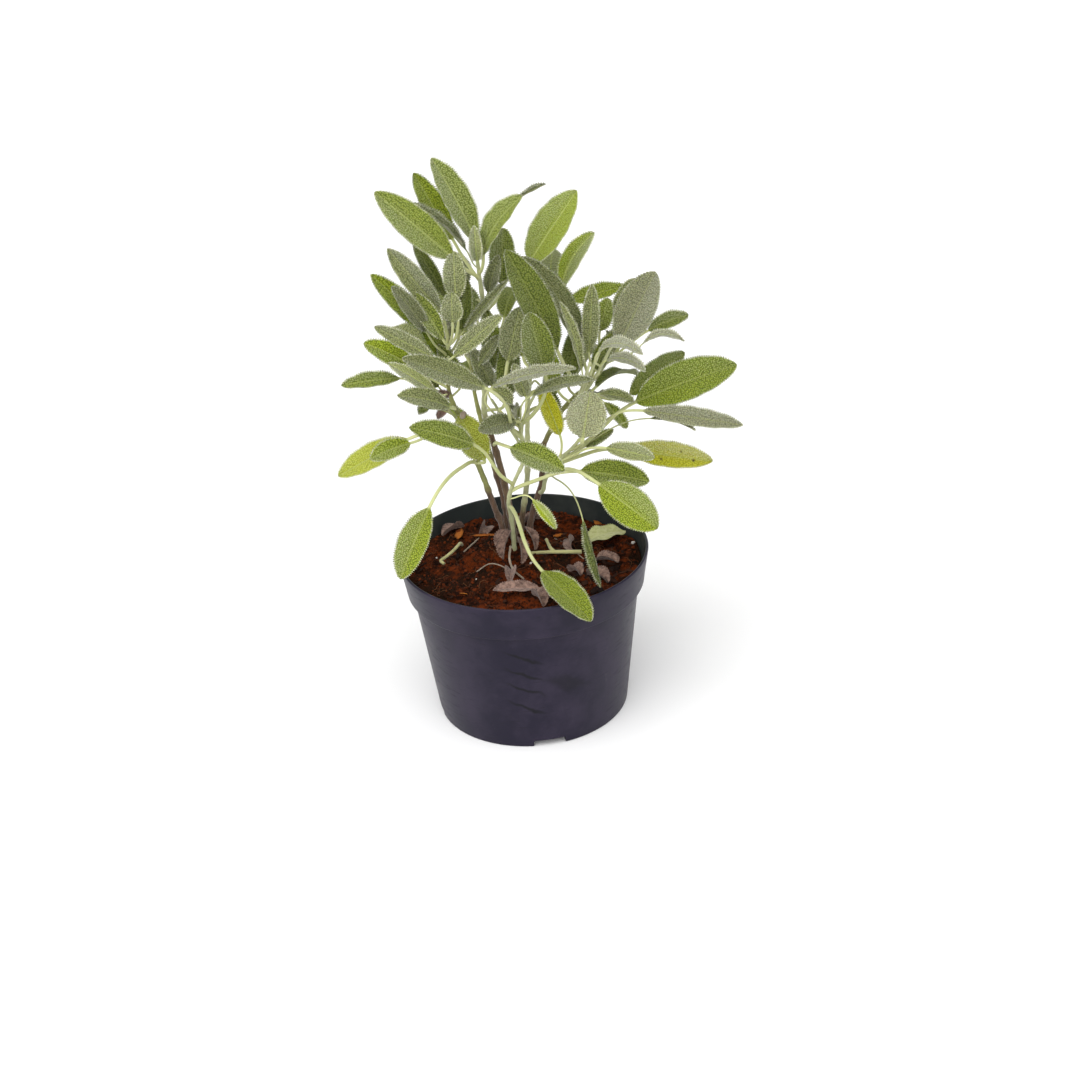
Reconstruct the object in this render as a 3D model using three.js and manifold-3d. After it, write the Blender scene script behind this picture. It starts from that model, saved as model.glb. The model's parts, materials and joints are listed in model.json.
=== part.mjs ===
// A young sage plant in a round plastic nursery pot, as separate solids.
// Millimetres, +Z up, +X to the right and -Y to the front. The origin is the centre of the pot's underside.

import * as THREE from 'three';
import { mergeVertices } from 'three/addons/utils/BufferGeometryUtils.js';
import Module from 'manifold-3d';

const wasm = await Module();
wasm.setup();

// ---- Driving dimensions -------------------------------------------------------------------------

const GAP = 0.3;                  // clearance between pieces that touch

const POT_HEIGHT = 107;
const RIM_RADIUS = 77.5;          // outside of the rim at the top
const BAND_HEIGHT = 21;           // the thicker collar below the rim
const BAND_FOOT_RADIUS = 74.2;    // outside of the collar at its lower edge
const WALL_TOP_RADIUS = 71;       // outside of the wall where it meets the collar
const FOOT_RADIUS = 60.5;         // outside of the wall at the ground
const WALL = 1.6;
const POT_SEGMENTS = 40;

const FLOOR_UNDERSIDE = 4.5;      // the floor stands this far off the ground
const PAD_RADIUS = 12;            // a pad in the middle reaches the ground
const FOOT_RING_WIDTH = 6;        // and so does a ring under the wall
const DRAIN_COUNT = 4;
const DRAIN_WIDTH = 20;           // gaps in the foot ring
const DRAIN_HOLE_RADIUS = 5;
const DRAIN_HOLE_CIRCLE = 40;
const FIRST_DRAIN_ANGLE = -82;    // degrees from +X: one gap is a little right of the front

const SOIL_EDGE_HEIGHT = 95;      // where the soil meets the wall
const SOIL_MOUND = 6;             // how much higher it lies round the stems
const SOIL_BUMP = 1.2;
const MOUND_X = -4;
const MOUND_Y = 20;
const MOUND_SPREAD = 34;

const STEM_SIDES = 7;
const STEM_SPACING = 11;          // between the rings of a stem
const STEM_BURIED_TO = 82;        // the stems go down into the soil to this height

const PETIOLE_RADIUS = 0.85;
const PETIOLE_SPACING = 13;
const LEAF_THICKNESS = 0.9;

// The outline of a leaf: [share of its length, share of its half width] from the base to the tip.
const LEAF_OUTLINE = [[0, 0.12], [0.1, 0.52], [0.27, 0.88], [0.48, 1], [0.7, 0.87], [0.89, 0.5]];

// The section of a leaf, once round: [share of the half width, share of the thickness].
// Three points lie between the edges on the upper side and two on the lower side.
const LEAF_SECTION = [[-1, 0], [-0.55, 0], [0, 0], [0.55, 0], [1, 0], [0.3, -1], [-0.3, -1]];
const PETIOLE_SECTION = [[-1, 0], [-0.62, 0.78], [0, 1], [0.62, 0.78], [1, 0], [0.43, -0.9], [-0.43, -0.9]];

// ---- Materials ----------------------------------------------------------------------------------

const finish = (color, roughness) => new THREE.MeshStandardMaterial({ color, roughness, metalness: 0 });
const MATERIALS = {
  pot: finish('#3a3a42', 0.45),
  soil: finish('#5a2e1c', 1),
  wood: finish('#6b5140', 0.9),
  green_stem: finish('#9fae62', 0.8),
  bright: finish('#7f9a3a', 0.75),
  green: finish('#6d8a44', 0.8),
  grey: finish('#8a9b78', 0.85),
  silver: finish('#a9ad98', 0.9),
  yellow: finish('#b3ad2f', 0.75),
  dead: finish('#7d6a60', 0.95),
  pale: finish('#c0c98a', 0.8),
};

const plant = new THREE.Group();

function add(name, geometry, look) {
  const mesh = new THREE.Mesh(geometry, MATERIALS[look]);
  mesh.name = name;
  plant.add(mesh);
}

// ---- Shaping helpers ----------------------------------------------------------------------------

const vec = (p) => new THREE.Vector3(...p);
const degrees = THREE.MathUtils.degToRad;
const UP = new THREE.Vector3(0, 0, 1);

function signedVolume(geometry) {
  const position = geometry.attributes.position;
  const corner = (k) => new THREE.Vector3().fromBufferAttribute(position, geometry.index.getX(k));
  let total = 0;
  for (let k = 0; k < geometry.index.count; k += 3) {
    total += corner(k).dot(corner(k + 1).cross(corner(k + 2)));
  }
  return total / 6;
}

// A closed skin through rings of points, with a pole point at each end. It is a cylinder whose
// vertices are carried to the rings, so every ring has the same number of points.
function loft(startPole, rings, endPole) {
  const sides = rings[0].length;
  const geometry = new THREE.CylinderGeometry(1, 1, 1, sides, rings.length - 1);
  const position = geometry.attributes.position;
  for (let i = 0; i < position.count; i += 1) {
    const [x, y, z] = [position.getX(i), position.getY(i), position.getZ(i)];
    const ring = rings[Math.round((0.5 - y) * (rings.length - 1))];
    const turn = Math.round((Math.atan2(x, z) / (2 * Math.PI)) * sides + sides) % sides;
    const pole = y > 0 ? startPole : endPole;
    const target = Math.hypot(x, z) < 0.5 ? pole : ring[turn];
    position.setXYZ(i, target.x, target.y, target.z);
  }
  if (signedVolume(geometry) < 0) {
    geometry.index.array.reverse();
  }
  geometry.computeVertexNormals();
  return geometry;
}

function toSolid(geometry) {
  const bare = geometry.clone();
  bare.deleteAttribute('normal');
  bare.deleteAttribute('uv');
  const merged = mergeVertices(bare, 1e-4);
  return new wasm.Manifold(new wasm.Mesh({
    numProp: 3,
    vertProperties: new Float32Array(merged.attributes.position.array),
    triVerts: new Uint32Array(merged.index.array),
  }));
}

function toGeometry(solid) {
  const mesh = solid.getMesh();
  const geometry = new THREE.BufferGeometry();
  geometry.setAttribute('position', new THREE.BufferAttribute(mesh.vertProperties, 3));
  geometry.setIndex(new THREE.BufferAttribute(mesh.triVerts, 1));
  geometry.computeVertexNormals();
  return geometry;
}

// A lathe's profile is [radius, height]; the lathe turns about Y, so it is stood up onto Z.
function turned(profile, segments) {
  const points = profile.map(([radius, height]) => new THREE.Vector2(radius, height));
  return new THREE.LatheGeometry(points, segments).rotateX(Math.PI / 2);
}

// ---- Pot ----------------------------------------------------------------------------------------

const wallRadius = (height) => THREE.MathUtils.mapLinear(
  height, 0, POT_HEIGHT - BAND_HEIGHT, FOOT_RADIUS, WALL_TOP_RADIUS);

function makePot() {
  const bandFoot = POT_HEIGHT - BAND_HEIGHT;
  const ringInside = FOOT_RADIUS - FOOT_RING_WIDTH;
  const floorTop = FLOOR_UNDERSIDE + WALL;
  const profile = [
    [0, 0],
    [PAD_RADIUS, 0],
    [PAD_RADIUS + 1.5, FLOOR_UNDERSIDE],
    [ringInside, FLOOR_UNDERSIDE],
    [ringInside + 1, 0],
    [FOOT_RADIUS - 1, 0],
    [FOOT_RADIUS, 1],
    [wallRadius(bandFoot - 2), bandFoot - 2],
    [BAND_FOOT_RADIUS - 0.6, bandFoot - 0.8],
    [BAND_FOOT_RADIUS, bandFoot],
    [RIM_RADIUS - 0.4, POT_HEIGHT - 1],
    [RIM_RADIUS - 1, POT_HEIGHT],
    [RIM_RADIUS - WALL - 0.6, POT_HEIGHT],
    [RIM_RADIUS - WALL - 1, POT_HEIGHT - 1],
    [BAND_FOOT_RADIUS - WALL, bandFoot + WALL],
    [wallRadius(bandFoot) - WALL, bandFoot - 2],
    [wallRadius(floorTop) - WALL, floorTop],
    [0, floorTop],
  ];
  let pot = toSolid(turned(profile, POT_SEGMENTS));
  for (let i = 0; i < DRAIN_COUNT; i += 1) {
    const angle = degrees(FIRST_DRAIN_ANGLE + (360 / DRAIN_COUNT) * i);
    const gap = new THREE.BoxGeometry(FOOT_RING_WIDTH * 3, DRAIN_WIDTH, 2 * FLOOR_UNDERSIDE);
    gap.translate(FOOT_RADIUS, 0, 0).rotateZ(angle);
    const hole = new THREE.CylinderGeometry(DRAIN_HOLE_RADIUS, DRAIN_HOLE_RADIUS, 4 * FLOOR_UNDERSIDE, 16);
    hole.rotateX(Math.PI / 2).translate(DRAIN_HOLE_CIRCLE, 0, 0).rotateZ(angle);
    pot = pot.subtract(toSolid(gap)).subtract(toSolid(hole));
  }
  return toGeometry(pot);
}

// ---- Stems --------------------------------------------------------------------------------------

// Each stem: its name, its look, the thickness at its foot and top, and the points it grows through.
const STEMS = {
  tall: {
    look: 'green_stem', foot: 2.8, top: 1.3,
    path: [[-5, 22, STEM_BURIED_TO], [-6, 22, 110], [-9, 23, 140], [-12, 24, 159], [-15, 24, 174],
      [-18, 25, 190], [-16, 26, 207], [-13, 27, 229], [-13, 27, 248], [-14, 27, 267], [-15, 27, 286]],
  },
  left: {
    look: 'wood', foot: 2.5, top: 1.2,
    path: [[-13, 20, STEM_BURIED_TO], [-12, 20, 110], [-17, 18, 130], [-21, 17, 147], [-25, 16, 162],
      [-30, 15, 186], [-37, 14, 204], [-38, 14, 222], [-35, 15, 243]],
  },
  front: {
    look: 'green_stem', foot: 1.7, top: 1.1,
    path: [[-6, 12, STEM_BURIED_TO], [-6, 13, 118], [-7, 8, 138], [-3, 5, 150], [4, 2, 167],
      [4, 0, 181], [2, -2, 196]],
  },
  right: {
    look: 'wood', foot: 2.6, top: 1.2,
    path: [[5, 35, STEM_BURIED_TO], [5, 34, 106], [10, 33, 123], [15, 32, 139], [15, 31, 157],
      [23, 30, 174], [32, 28, 189], [44, 24, 201], [55, 20, 215], [62, 17, 228]],
  },
  centre: {
    look: 'green_stem', foot: 2.2, top: 1.2,
    path: [[-3, 34, STEM_BURIED_TO], [0, 36, 108], [5, 41, 134], [7, 44, 160], [9, 48, 186],
      [15, 50, 218], [22, 50, 244], [24, 50, 260]],
  },
  back: {
    look: 'wood', foot: 2.2, top: 1.2,
    path: [[-12, 31, STEM_BURIED_TO], [-10, 32, 118], [-15, 38, 145], [-20, 46, 168], [-24, 55, 190],
      [-25, 60, 212]],
  },
  // This shoot branches off the right-hand stem, so it starts beside that stem and not in the soil.
  low_right: {
    look: 'green_stem', foot: 1.6, top: 1.1, branch: true,
    path: [[14, 29, 131], [17, 26, 142], [24, 20, 155], [31, 15, 163], [40, 10, 175]],
  },
};

const stemCurve = {};
const stemRadius = (stem, share) => THREE.MathUtils.lerp(STEMS[stem].foot, STEMS[stem].top, share);

function tube(curve, radiusAt, spacing, sides) {
  const steps = Math.max(2, Math.round(curve.getLength() / spacing));
  const rings = [];
  let side = new THREE.Vector3(1, 0, 0);
  for (let i = 0; i <= steps; i += 1) {
    const share = i / steps;
    const centre = curve.getPointAt(share);
    const along = curve.getTangentAt(share);
    const across = along.clone().cross(side).normalize();
    side = across.clone().cross(along).normalize();
    const ring = [];
    for (let k = 0; k < sides; k += 1) {
      const angle = (k / sides) * 2 * Math.PI;
      const radius = radiusAt(share);
      ring.push(centre.clone()
        .addScaledVector(side, radius * Math.cos(angle))
        .addScaledVector(across, radius * Math.sin(angle)));
    }
    rings.push(ring);
  }
  return loft(curve.getPointAt(0), rings, curve.getPointAt(1));
}

function stemTube(name, extra) {
  return tube(stemCurve[name], (share) => stemRadius(name, share) + extra, STEM_SPACING, STEM_SIDES);
}

for (const [name, { path }] of Object.entries(STEMS)) {
  stemCurve[name] = new THREE.CatmullRomCurve3(path.map(vec), false, 'centripetal');
}

// ---- Soil ---------------------------------------------------------------------------------------

function soilHeight(x, y) {
  const fromMound = Math.hypot(x - MOUND_X, y - MOUND_Y) / MOUND_SPREAD;
  const bumps = Math.sin(x / 7 + 1) * Math.cos(y / 6) + 0.6 * Math.sin((x + y) / 4.3);
  return SOIL_EDGE_HEIGHT + SOIL_MOUND * Math.exp(-fromMound * fromMound) + SOIL_BUMP * bumps;
}

function makeSoil() {
  const floor = FLOOR_UNDERSIDE + WALL + GAP;
  const inside = (height) => wallRadius(height) - WALL - GAP - 0.2;
  const brim = POT_HEIGHT - BAND_HEIGHT - 4;
  const edge = BAND_FOOT_RADIUS - WALL - GAP - 1;
  const profile = [[0, floor], [inside(floor), floor], [inside(brim), brim], [edge, SOIL_EDGE_HEIGHT - 5]];
  const topRadii = [71, 60, 46, 32, 18, 8, 0];
  for (const radius of topRadii) {
    profile.push([radius, SOIL_EDGE_HEIGHT]);
  }
  const geometry = turned(profile, POT_SEGMENTS);
  const position = geometry.attributes.position;
  for (let i = 0; i < position.count; i += 1) {
    if (position.getZ(i) > SOIL_EDGE_HEIGHT - 1) {
      position.setZ(i, soilHeight(position.getX(i), position.getY(i)));
    }
  }
  let soil = toSolid(geometry);
  for (const name of Object.keys(STEMS)) {
    if (!STEMS[name].branch) {
      soil = soil.subtract(toSolid(stemTube(name, GAP)));
    }
  }
  return toGeometry(soil);
}

// ---- Leaves -------------------------------------------------------------------------------------

function pointOnStem(stem, height) {
  const curve = stemCurve[stem];
  let [low, high] = [0, 1];
  for (let i = 0; i < 30; i += 1) {
    const middle = (low + high) / 2;
    if (curve.getPointAt(middle).z < height) {
      low = middle;
    } else {
      high = middle;
    }
  }
  return { centre: curve.getPointAt(low), radius: stemRadius(stem, low) };
}

// The way the upper face looks: tilt leans it from straight up to the front, and lean to the right.
function facing(tilt, lean) {
  const [t, l] = [degrees(tilt), degrees(lean)];
  return new THREE.Vector3(Math.sin(l), -Math.cos(l) * Math.sin(t), Math.cos(l) * Math.cos(t));
}

function section(shape, centre, along, face, halfWidth, thickness, foldAngle) {
  const side = along.clone().cross(face).normalize();
  const normal = side.clone().cross(along).normalize();
  return shape.map(([u, v]) => centre.clone()
    .addScaledVector(side, u * halfWidth * Math.cos(foldAngle))
    .addScaledVector(normal, v * thickness + Math.abs(u) * halfWidth * Math.sin(foldAngle)));
}

// base and tip are the ends of the blade. The petiole runs from the stem at joinHeight to the base.
// arch bows the blade towards its upper face, sweep bows it sideways, and fold lifts its two halves.
function leafGeometry({ stem, joinHeight, base, tip, width, ...shape }) {
  const { arch = 3, sweep = 0, fold = 14, tilt = 50, lean = 0 } = shape;
  const face = facing(tilt, lean);
  const chord = tip.clone().sub(base);
  const side = chord.clone().cross(face).normalize();
  const normal = side.clone().cross(chord).normalize();
  const spine = (t) => base.clone()
    .addScaledVector(chord, t)
    .addScaledVector(normal, arch * 4 * t * (1 - t))
    .addScaledVector(side, sweep * 4 * t * (1 - t));
  const heading = (t) => spine(t + 0.01).sub(spine(t - 0.01)).normalize();

  const rings = [];
  let startPole = base;
  if (stem) {
    const { centre, radius } = pointOnStem(stem, joinHeight);
    const out = base.clone().sub(centre).normalize();
    const level = out.clone().setZ(0).normalize();
    const start = centre.clone().addScaledVector(level, radius + PETIOLE_RADIUS + 2 * GAP);
    const reach = start.distanceTo(base) / 2.6;
    const away = level.clone().addScaledVector(UP, 0.5).addScaledVector(out, 0.8).normalize();
    const petiole = new THREE.CubicBezierCurve3(
      start,
      start.clone().addScaledVector(away, reach),
      base.clone().addScaledVector(heading(0.01), -reach),
      base,
    );
    const steps = Math.max(2, Math.round(petiole.getLength() / PETIOLE_SPACING));
    for (let i = 0; i < steps; i += 1) {
      const along = petiole.getTangentAt(i / steps);
      const centrePoint = petiole.getPointAt(i / steps);
      rings.push(section(PETIOLE_SECTION, centrePoint, along, face, PETIOLE_RADIUS, PETIOLE_RADIUS, 0));
    }
    startPole = start;
  }
  for (const [t, share] of LEAF_OUTLINE) {
    const foldHere = degrees(fold) * Math.min(1, 4 * t);
    const halfWidth = Math.max(share * width / 2, PETIOLE_RADIUS);
    rings.push(section(LEAF_SECTION, spine(t), heading(t), face, halfWidth, LEAF_THICKNESS, foldHere));
  }
  return loft(startPole, rings, spine(1));
}

// name, look, stem, height where it joins the stem, blade base, blade tip, width, shape
const LEAVES = [
  ['tall_leaf_1', 'green', 'tall', 283, [-15, 29, 297], [-37, 36, 346], 20, { tilt: 55, lean: 20 }],
  ['tall_leaf_2', 'bright', 'tall', 275, [-29, 44, 294], [-49, 50, 334], 15, { tilt: 55, lean: 10, arch: 0 }],
  ['tall_leaf_3', 'green', 'tall', 277, [-29, 16, 292], [-69, 2, 338], 20, { tilt: 60, arch: 2 }],
  ['tall_leaf_4', 'green', 'tall', 280, [-11, 22, 291], [14, 10, 328], 17, { tilt: 45, lean: -30, arch: 5 }],
  ['tall_leaf_5', 'green', 'tall', 252, [-2, 50, 262], [1, 66, 292], 16, { tilt: 60, arch: 4 }],

  ['centre_leaf_1', 'green', 'centre', 258, [15, 40, 277], [46, 36, 321], 23, { tilt: 55, lean: -15, arch: 1 }],
  ['centre_leaf_2', 'green', 'centre', 252, [34, 50, 257], [56, 58, 288], 13, { tilt: 60, lean: -10, sweep: -3 }],
  ['centre_leaf_3', 'bright', 'centre', 246, [36, 40, 251], [72, 46, 257], 12, { tilt: 40, arch: 1 }],
  ['centre_leaf_4', 'green', 'centre', 240, [28, 66, 246], [31, 86, 270], 16, { tilt: -10, arch: 5 }],
  ['centre_leaf_5', 'green', 'centre', 222, [20, 68, 228], [30, 108, 246], 20, { tilt: 0, arch: 7 }],

  ['right_leaf_1', 'green', 'right', 203, [28, -8, 240], [2, -6, 302], 21, { tilt: 60, lean: 15 }],
  ['right_leaf_2', 'grey', 'right', 208, [43, 4, 231], [11, 10, 292], 15, { tilt: 60, lean: 25, sweep: 5 }],
  ['right_leaf_3', 'grey', 'right', 213, [47, 4, 232], [51, 8, 273], 11, { tilt: 65 }],
  ['right_leaf_4', 'bright', 'right', 218, [55, 26, 237], [61, 30, 256], 12, { tilt: 60 }],
  ['right_leaf_5', 'silver', 'right', 226, [66, 6, 236], [88, 8, 278], 24, { tilt: 62, lean: -10, arch: 2 }],
  ['right_leaf_6', 'green', 'right', 222, [84, 26, 235], [109, 32, 241], 11, { tilt: 45 }],
  ['right_leaf_7', 'silver', 'right', 220, [78, -10, 241], [102, -16, 243], 9, { tilt: 25, arch: 7 }],
  ['right_leaf_8', 'silver', 'right', 216, [52, -13, 239], [77, -25, 240], 12, { tilt: 25, arch: 8 }],
  ['right_leaf_9', 'bright', 'right', 194, [72, 34, 191], [107, 40, 214], 16, { tilt: 50, arch: 1 }],
  ['right_leaf_10', 'green', 'right', 198, [56, 58, 205], [88, 84, 212], 19, { tilt: 5, arch: 6 }],

  ['low_leaf_1', 'bright', 'low_right', 168, [73, -4, 202], [133, -8, 223], 25, { tilt: 50, arch: 4 }],
  ['low_leaf_2', 'silver', 'low_right', 162, [76, -20, 203], [134, -26, 192], 13, { tilt: 45, arch: 1 }],
  ['low_leaf_3', 'silver', 'low_right', 175, [40, -17, 187], [46, -13, 215], 24, { tilt: 62, arch: 2 }],
  ['low_leaf_4', 'grey', 'low_right', 158, [54, -10, 176], [82, -18, 171], 12, { tilt: 40, arch: 1 }],
  ['low_leaf_5', 'yellow', 'low_right', 154, [66, 10, 165], [119, 2, 157], 17, { tilt: 50, arch: 0 }],
  ['low_leaf_6', 'bright', 'low_right', 150, [48, -24, 159], [81, -38, 134], 24, { tilt: 55, arch: 1 }],
  ['low_leaf_7', 'green', 'front', 146, [38, -2, 158], [79, -12, 153], 18, { tilt: 50, arch: 3 }],
  ['low_leaf_8', 'green', 'low_right', 145, [37, -31, 139], [45, -50, 103], 9,
    { tilt: 40, lean: -30, fold: 30, arch: 1 }],

  ['front_leaf_1', 'silver', 'front', 187, [-11, -24, 226], [38, -34, 238], 12, { tilt: 30, arch: 4 }],
  ['front_leaf_2', 'green', 'front', 192, [20, -20, 231], [13, -18, 268], 19, { tilt: 62 }],
  ['front_leaf_3', 'grey', 'front', 195, [-1, -5, 234], [8, -3, 266], 16, { tilt: 62 }],
  ['front_leaf_4', 'grey', 'front', 184, [-15, -34, 230], [-60, -40, 254], 15, { tilt: 45, arch: 1 }],
  ['front_leaf_5', 'green', 'front', 151, [-25, -16, 187], [-61, -28, 206], 16, { tilt: 50, arch: 4 }],
  ['front_leaf_6', 'green', 'tall', 170, [-3, -22, 186], [28, -38, 176], 16, { tilt: 50, arch: 3 }],
  ['front_leaf_7', 'bright', 'front', 133, [11, -52, 118], [37, -92, 105], 19, { tilt: 20, arch: 1 }],

  ['left_leaf_1', 'grey', 'left', 241, [-29, 12, 268], [-28, 16, 296], 14, { tilt: 62 }],
  ['left_leaf_2', 'grey', 'left', 238, [-38, 5, 263], [-65, 1, 305], 14, { tilt: 55, arch: 0 }],
  ['left_leaf_3', 'bright', 'left', 230, [-45, 15, 247], [-77, 11, 287], 14, { tilt: 55 }],
  ['left_leaf_4', 'grey', 'left', 234, [-47, -3, 255], [-64, -9, 286], 13, { tilt: 55, lean: 10 }],
  ['left_leaf_5', 'bright', 'left', 214, [-57, 8, 229], [-85, 6, 247], 14, { tilt: 50 }],
  ['left_leaf_6', 'green', 'left', 208, [-66, 4, 224], [-100, -4, 225], 11, { tilt: 40, arch: 2 }],
  ['left_leaf_7', 'grey', 'left', 200, [-37, -16, 212], [-66, -27, 226], 13, { tilt: 45, arch: 4 }],
  ['left_leaf_8', 'bright', 'left', 180, [-66, 18, 178], [-110, 10, 160], 17, { tilt: 45, arch: 2 }],
  ['left_leaf_9', 'bright', 'left', 162, [-54, -28, 153], [-74, -46, 116], 21, { tilt: 60, lean: -10 }],
  ['left_leaf_10', 'grey', 'left', 224, [-44, -8, 240], [-76, -14, 264], 11, { tilt: 45, arch: 1 }],
  ['left_leaf_11', 'grey', 'left', 232, [-32, -10, 241], [-2, -14, 266], 11, { tilt: 55, arch: 2 }],

  ['back_leaf_1', 'green', 'back', 210, [-32, 70, 224], [-44, 100, 248], 18, { tilt: 0, arch: 6 }],
  ['back_leaf_2', 'grey', 'back', 204, [-44, 66, 212], [-78, 84, 224], 18, { tilt: 10, arch: 6 }],
];

// ---- Litter on the soil -------------------------------------------------------------------------

// Fallen leaves lie flat a little above the soil. They have no petiole of their own here.
const LITTER = [
  ['fallen_leaf', 'pale', [38, 14, 101], [65, 26, 101], 16, { tilt: 0, arch: 2, fold: 8 }],
  ['dried_leaf', 'dead', [9, -42, 101], [-20, -40, 101], 9, { tilt: 20, arch: 1.5, fold: 20 }],
];
const TWIG_RADIUS = 1.3;
const TWIG_PATH = [[4, 2, 102.3], [15, 3, 101.6], [36, 4, 99.6]];

// ---- Assembly -----------------------------------------------------------------------------------

add('pot', makePot(), 'pot');
add('soil', makeSoil(), 'soil');
for (const name of Object.keys(STEMS)) {
  add(`${name}_stem`, stemTube(name, 0), STEMS[name].look);
}
for (const [name, look, stem, joinHeight, base, tip, width, shape] of LEAVES) {
  add(name, leafGeometry({ stem, joinHeight, base: vec(base), tip: vec(tip), width, ...shape }), look);
}
for (const [name, look, base, tip, width, shape] of LITTER) {
  add(name, leafGeometry({ base: vec(base), tip: vec(tip), width, ...shape }), look);
}

const twigCurve = new THREE.CatmullRomCurve3(TWIG_PATH.map(vec));
add('twig', tube(twigCurve, () => TWIG_RADIUS, STEM_SPACING, STEM_SIDES), 'pale');

export default plant;
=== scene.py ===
"""A potted sage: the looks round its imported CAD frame. Lengths are in metres, +Z up, -Y to the front.

The CAD solids say where each stem and leaf grows, how long and wide it is and how it is folded. Their rings
are read back from the frame and a fine leaf, stem, pot or soil surface is built through them. Small leaves
and soil litter that have no CAD node of their own are placed from the schedules below, by stem and height.
"""

import json
import math
import random

import bmesh
import bpy
import numpy as np
from mathutils import Matrix, Vector, noise


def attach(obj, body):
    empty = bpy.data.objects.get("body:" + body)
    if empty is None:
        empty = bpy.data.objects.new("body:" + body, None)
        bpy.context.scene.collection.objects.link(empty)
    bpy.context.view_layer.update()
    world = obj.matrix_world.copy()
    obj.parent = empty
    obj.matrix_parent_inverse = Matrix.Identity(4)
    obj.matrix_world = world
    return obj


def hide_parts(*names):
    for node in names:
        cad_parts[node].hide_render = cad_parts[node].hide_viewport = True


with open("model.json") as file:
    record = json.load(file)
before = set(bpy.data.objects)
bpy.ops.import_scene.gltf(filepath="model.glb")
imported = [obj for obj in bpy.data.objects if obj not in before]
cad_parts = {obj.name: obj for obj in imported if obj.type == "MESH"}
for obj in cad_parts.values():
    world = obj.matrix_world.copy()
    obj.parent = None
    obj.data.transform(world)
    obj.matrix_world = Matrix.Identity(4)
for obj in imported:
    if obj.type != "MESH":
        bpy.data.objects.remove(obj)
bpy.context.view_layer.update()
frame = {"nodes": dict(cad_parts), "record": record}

MM = 0.001
NOISE_SEED = 1
SLOT_OF = {row["node"]: row["material_slot"] for row in frame["record"]["subparts"]}
ROOT = "root"

# ---- Camera, light and floor ------------------------------------------------------------------

CAMERA_AIM = Vector((0.0106, 0, 0.112))
CAMERA_DISTANCE = 1.1
CAMERA_ELEVATION = math.radians(27.5)
CAMERA_ROLL = math.radians(-3.9)
CAMERA_LENS = 59.2

# Soft suns: name, where each one comes from, strength, and width in degrees.
SUNS = (
    ("key_light", (-0.55, -1.0, 1.45), 2.65, 75),
    ("top_light", (0.0, 0.2, 2.0), 0.75, 90),
    ("fill_light", (1.3, -0.9, 0.9), 0.75, 90),
)

# The white surroundings have full strength up to FADE_FROM of the way up the sky, and fade up to FADE_TO.
FADE_FROM = 0.15
FADE_TO = 0.50
STRENGTH_OVERHEAD = 0.25
FLOOR_HALF = 12
FLOOR_COLOUR = (0.93, 0.93, 0.93, 1)


def make_camera():
    camera = bpy.data.objects.new("camera", bpy.data.cameras.new("camera"))
    camera.data.lens = CAMERA_LENS
    camera.data.sensor_width = 36
    camera.data.clip_start = 0.05
    camera.data.clip_end = 20
    back = Vector((0, -math.cos(CAMERA_ELEVATION), math.sin(CAMERA_ELEVATION)))
    right = Vector((1, 0, 0))
    up = back.cross(right)
    turn = Matrix.Rotation(CAMERA_ROLL, 3, back)
    axes = Matrix((turn @ right, turn @ up, back)).transposed()
    camera.matrix_world = Matrix.Translation(CAMERA_AIM + back * CAMERA_DISTANCE) @ axes.to_4x4()
    bpy.context.scene.collection.objects.link(camera)
    bpy.context.scene.camera = camera


def make_sun(name, come_from, strength, softness):
    """A distant soft light, so that the floor is as bright far away as near the pot."""
    light = bpy.data.objects.new(name, bpy.data.lights.new(name, "SUN"))
    light.data.energy = strength
    light.data.angle = math.radians(softness)
    light.rotation_euler = (-Vector(come_from)).to_track_quat("-Z", "Y").to_euler()
    bpy.context.scene.collection.objects.link(light)


def make_world():
    world = bpy.data.worlds.new("studio")
    world.use_nodes = True
    nodes, links = world.node_tree.nodes, world.node_tree.links
    direction = nodes.new("ShaderNodeTexCoord")
    split = nodes.new("ShaderNodeSeparateXYZ")
    fade = nodes.new("ShaderNodeMapRange")
    fade.inputs["From Min"].default_value = FADE_FROM
    fade.inputs["From Max"].default_value = FADE_TO
    fade.inputs["To Min"].default_value = 1.0
    fade.inputs["To Max"].default_value = STRENGTH_OVERHEAD
    nodes["Background"].inputs["Color"].default_value = (1, 1, 1, 1)
    links.new(direction.outputs["Generated"], split.inputs[0])
    links.new(split.outputs["Z"], fade.inputs["Value"])
    links.new(fade.outputs[0], nodes["Background"].inputs["Strength"])
    bpy.context.scene.world = world
    bpy.context.scene.view_settings.view_transform = "Standard"


def make_floor():
    corners = [(x * FLOOR_HALF, y * FLOOR_HALF, 0) for x, y in ((-1, -1), (1, -1), (1, 1), (-1, 1))]
    mesh = bpy.data.meshes.new("floor")
    mesh.from_pydata(corners, [], [(0, 1, 2, 3)])
    paper = Graph("floor_paper", {"Base Color": FLOOR_COLOUR, "Roughness": 0.9, "Specular IOR Level": 0.2})
    mesh.materials.append(paper.material)
    floor = bpy.data.objects.new("floor", mesh)
    bpy.context.scene.collection.objects.link(floor)


# ---- Material graphs --------------------------------------------------------------------------


class Value:
    """A number or colour that runs between shader nodes. Arithmetic with it makes Math nodes."""

    def __init__(self, graph, socket):
        self.graph = graph
        self.socket = socket

    def __add__(self, other):
        return self.graph.math("ADD", self, other)

    def __sub__(self, other):
        return self.graph.math("SUBTRACT", self, other)

    def __mul__(self, other):
        return self.graph.math("MULTIPLY", self, other)

    def __truediv__(self, other):
        return self.graph.math("DIVIDE", self, other)

    def __abs__(self):
        return self.graph.math("ABSOLUTE", self)


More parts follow.
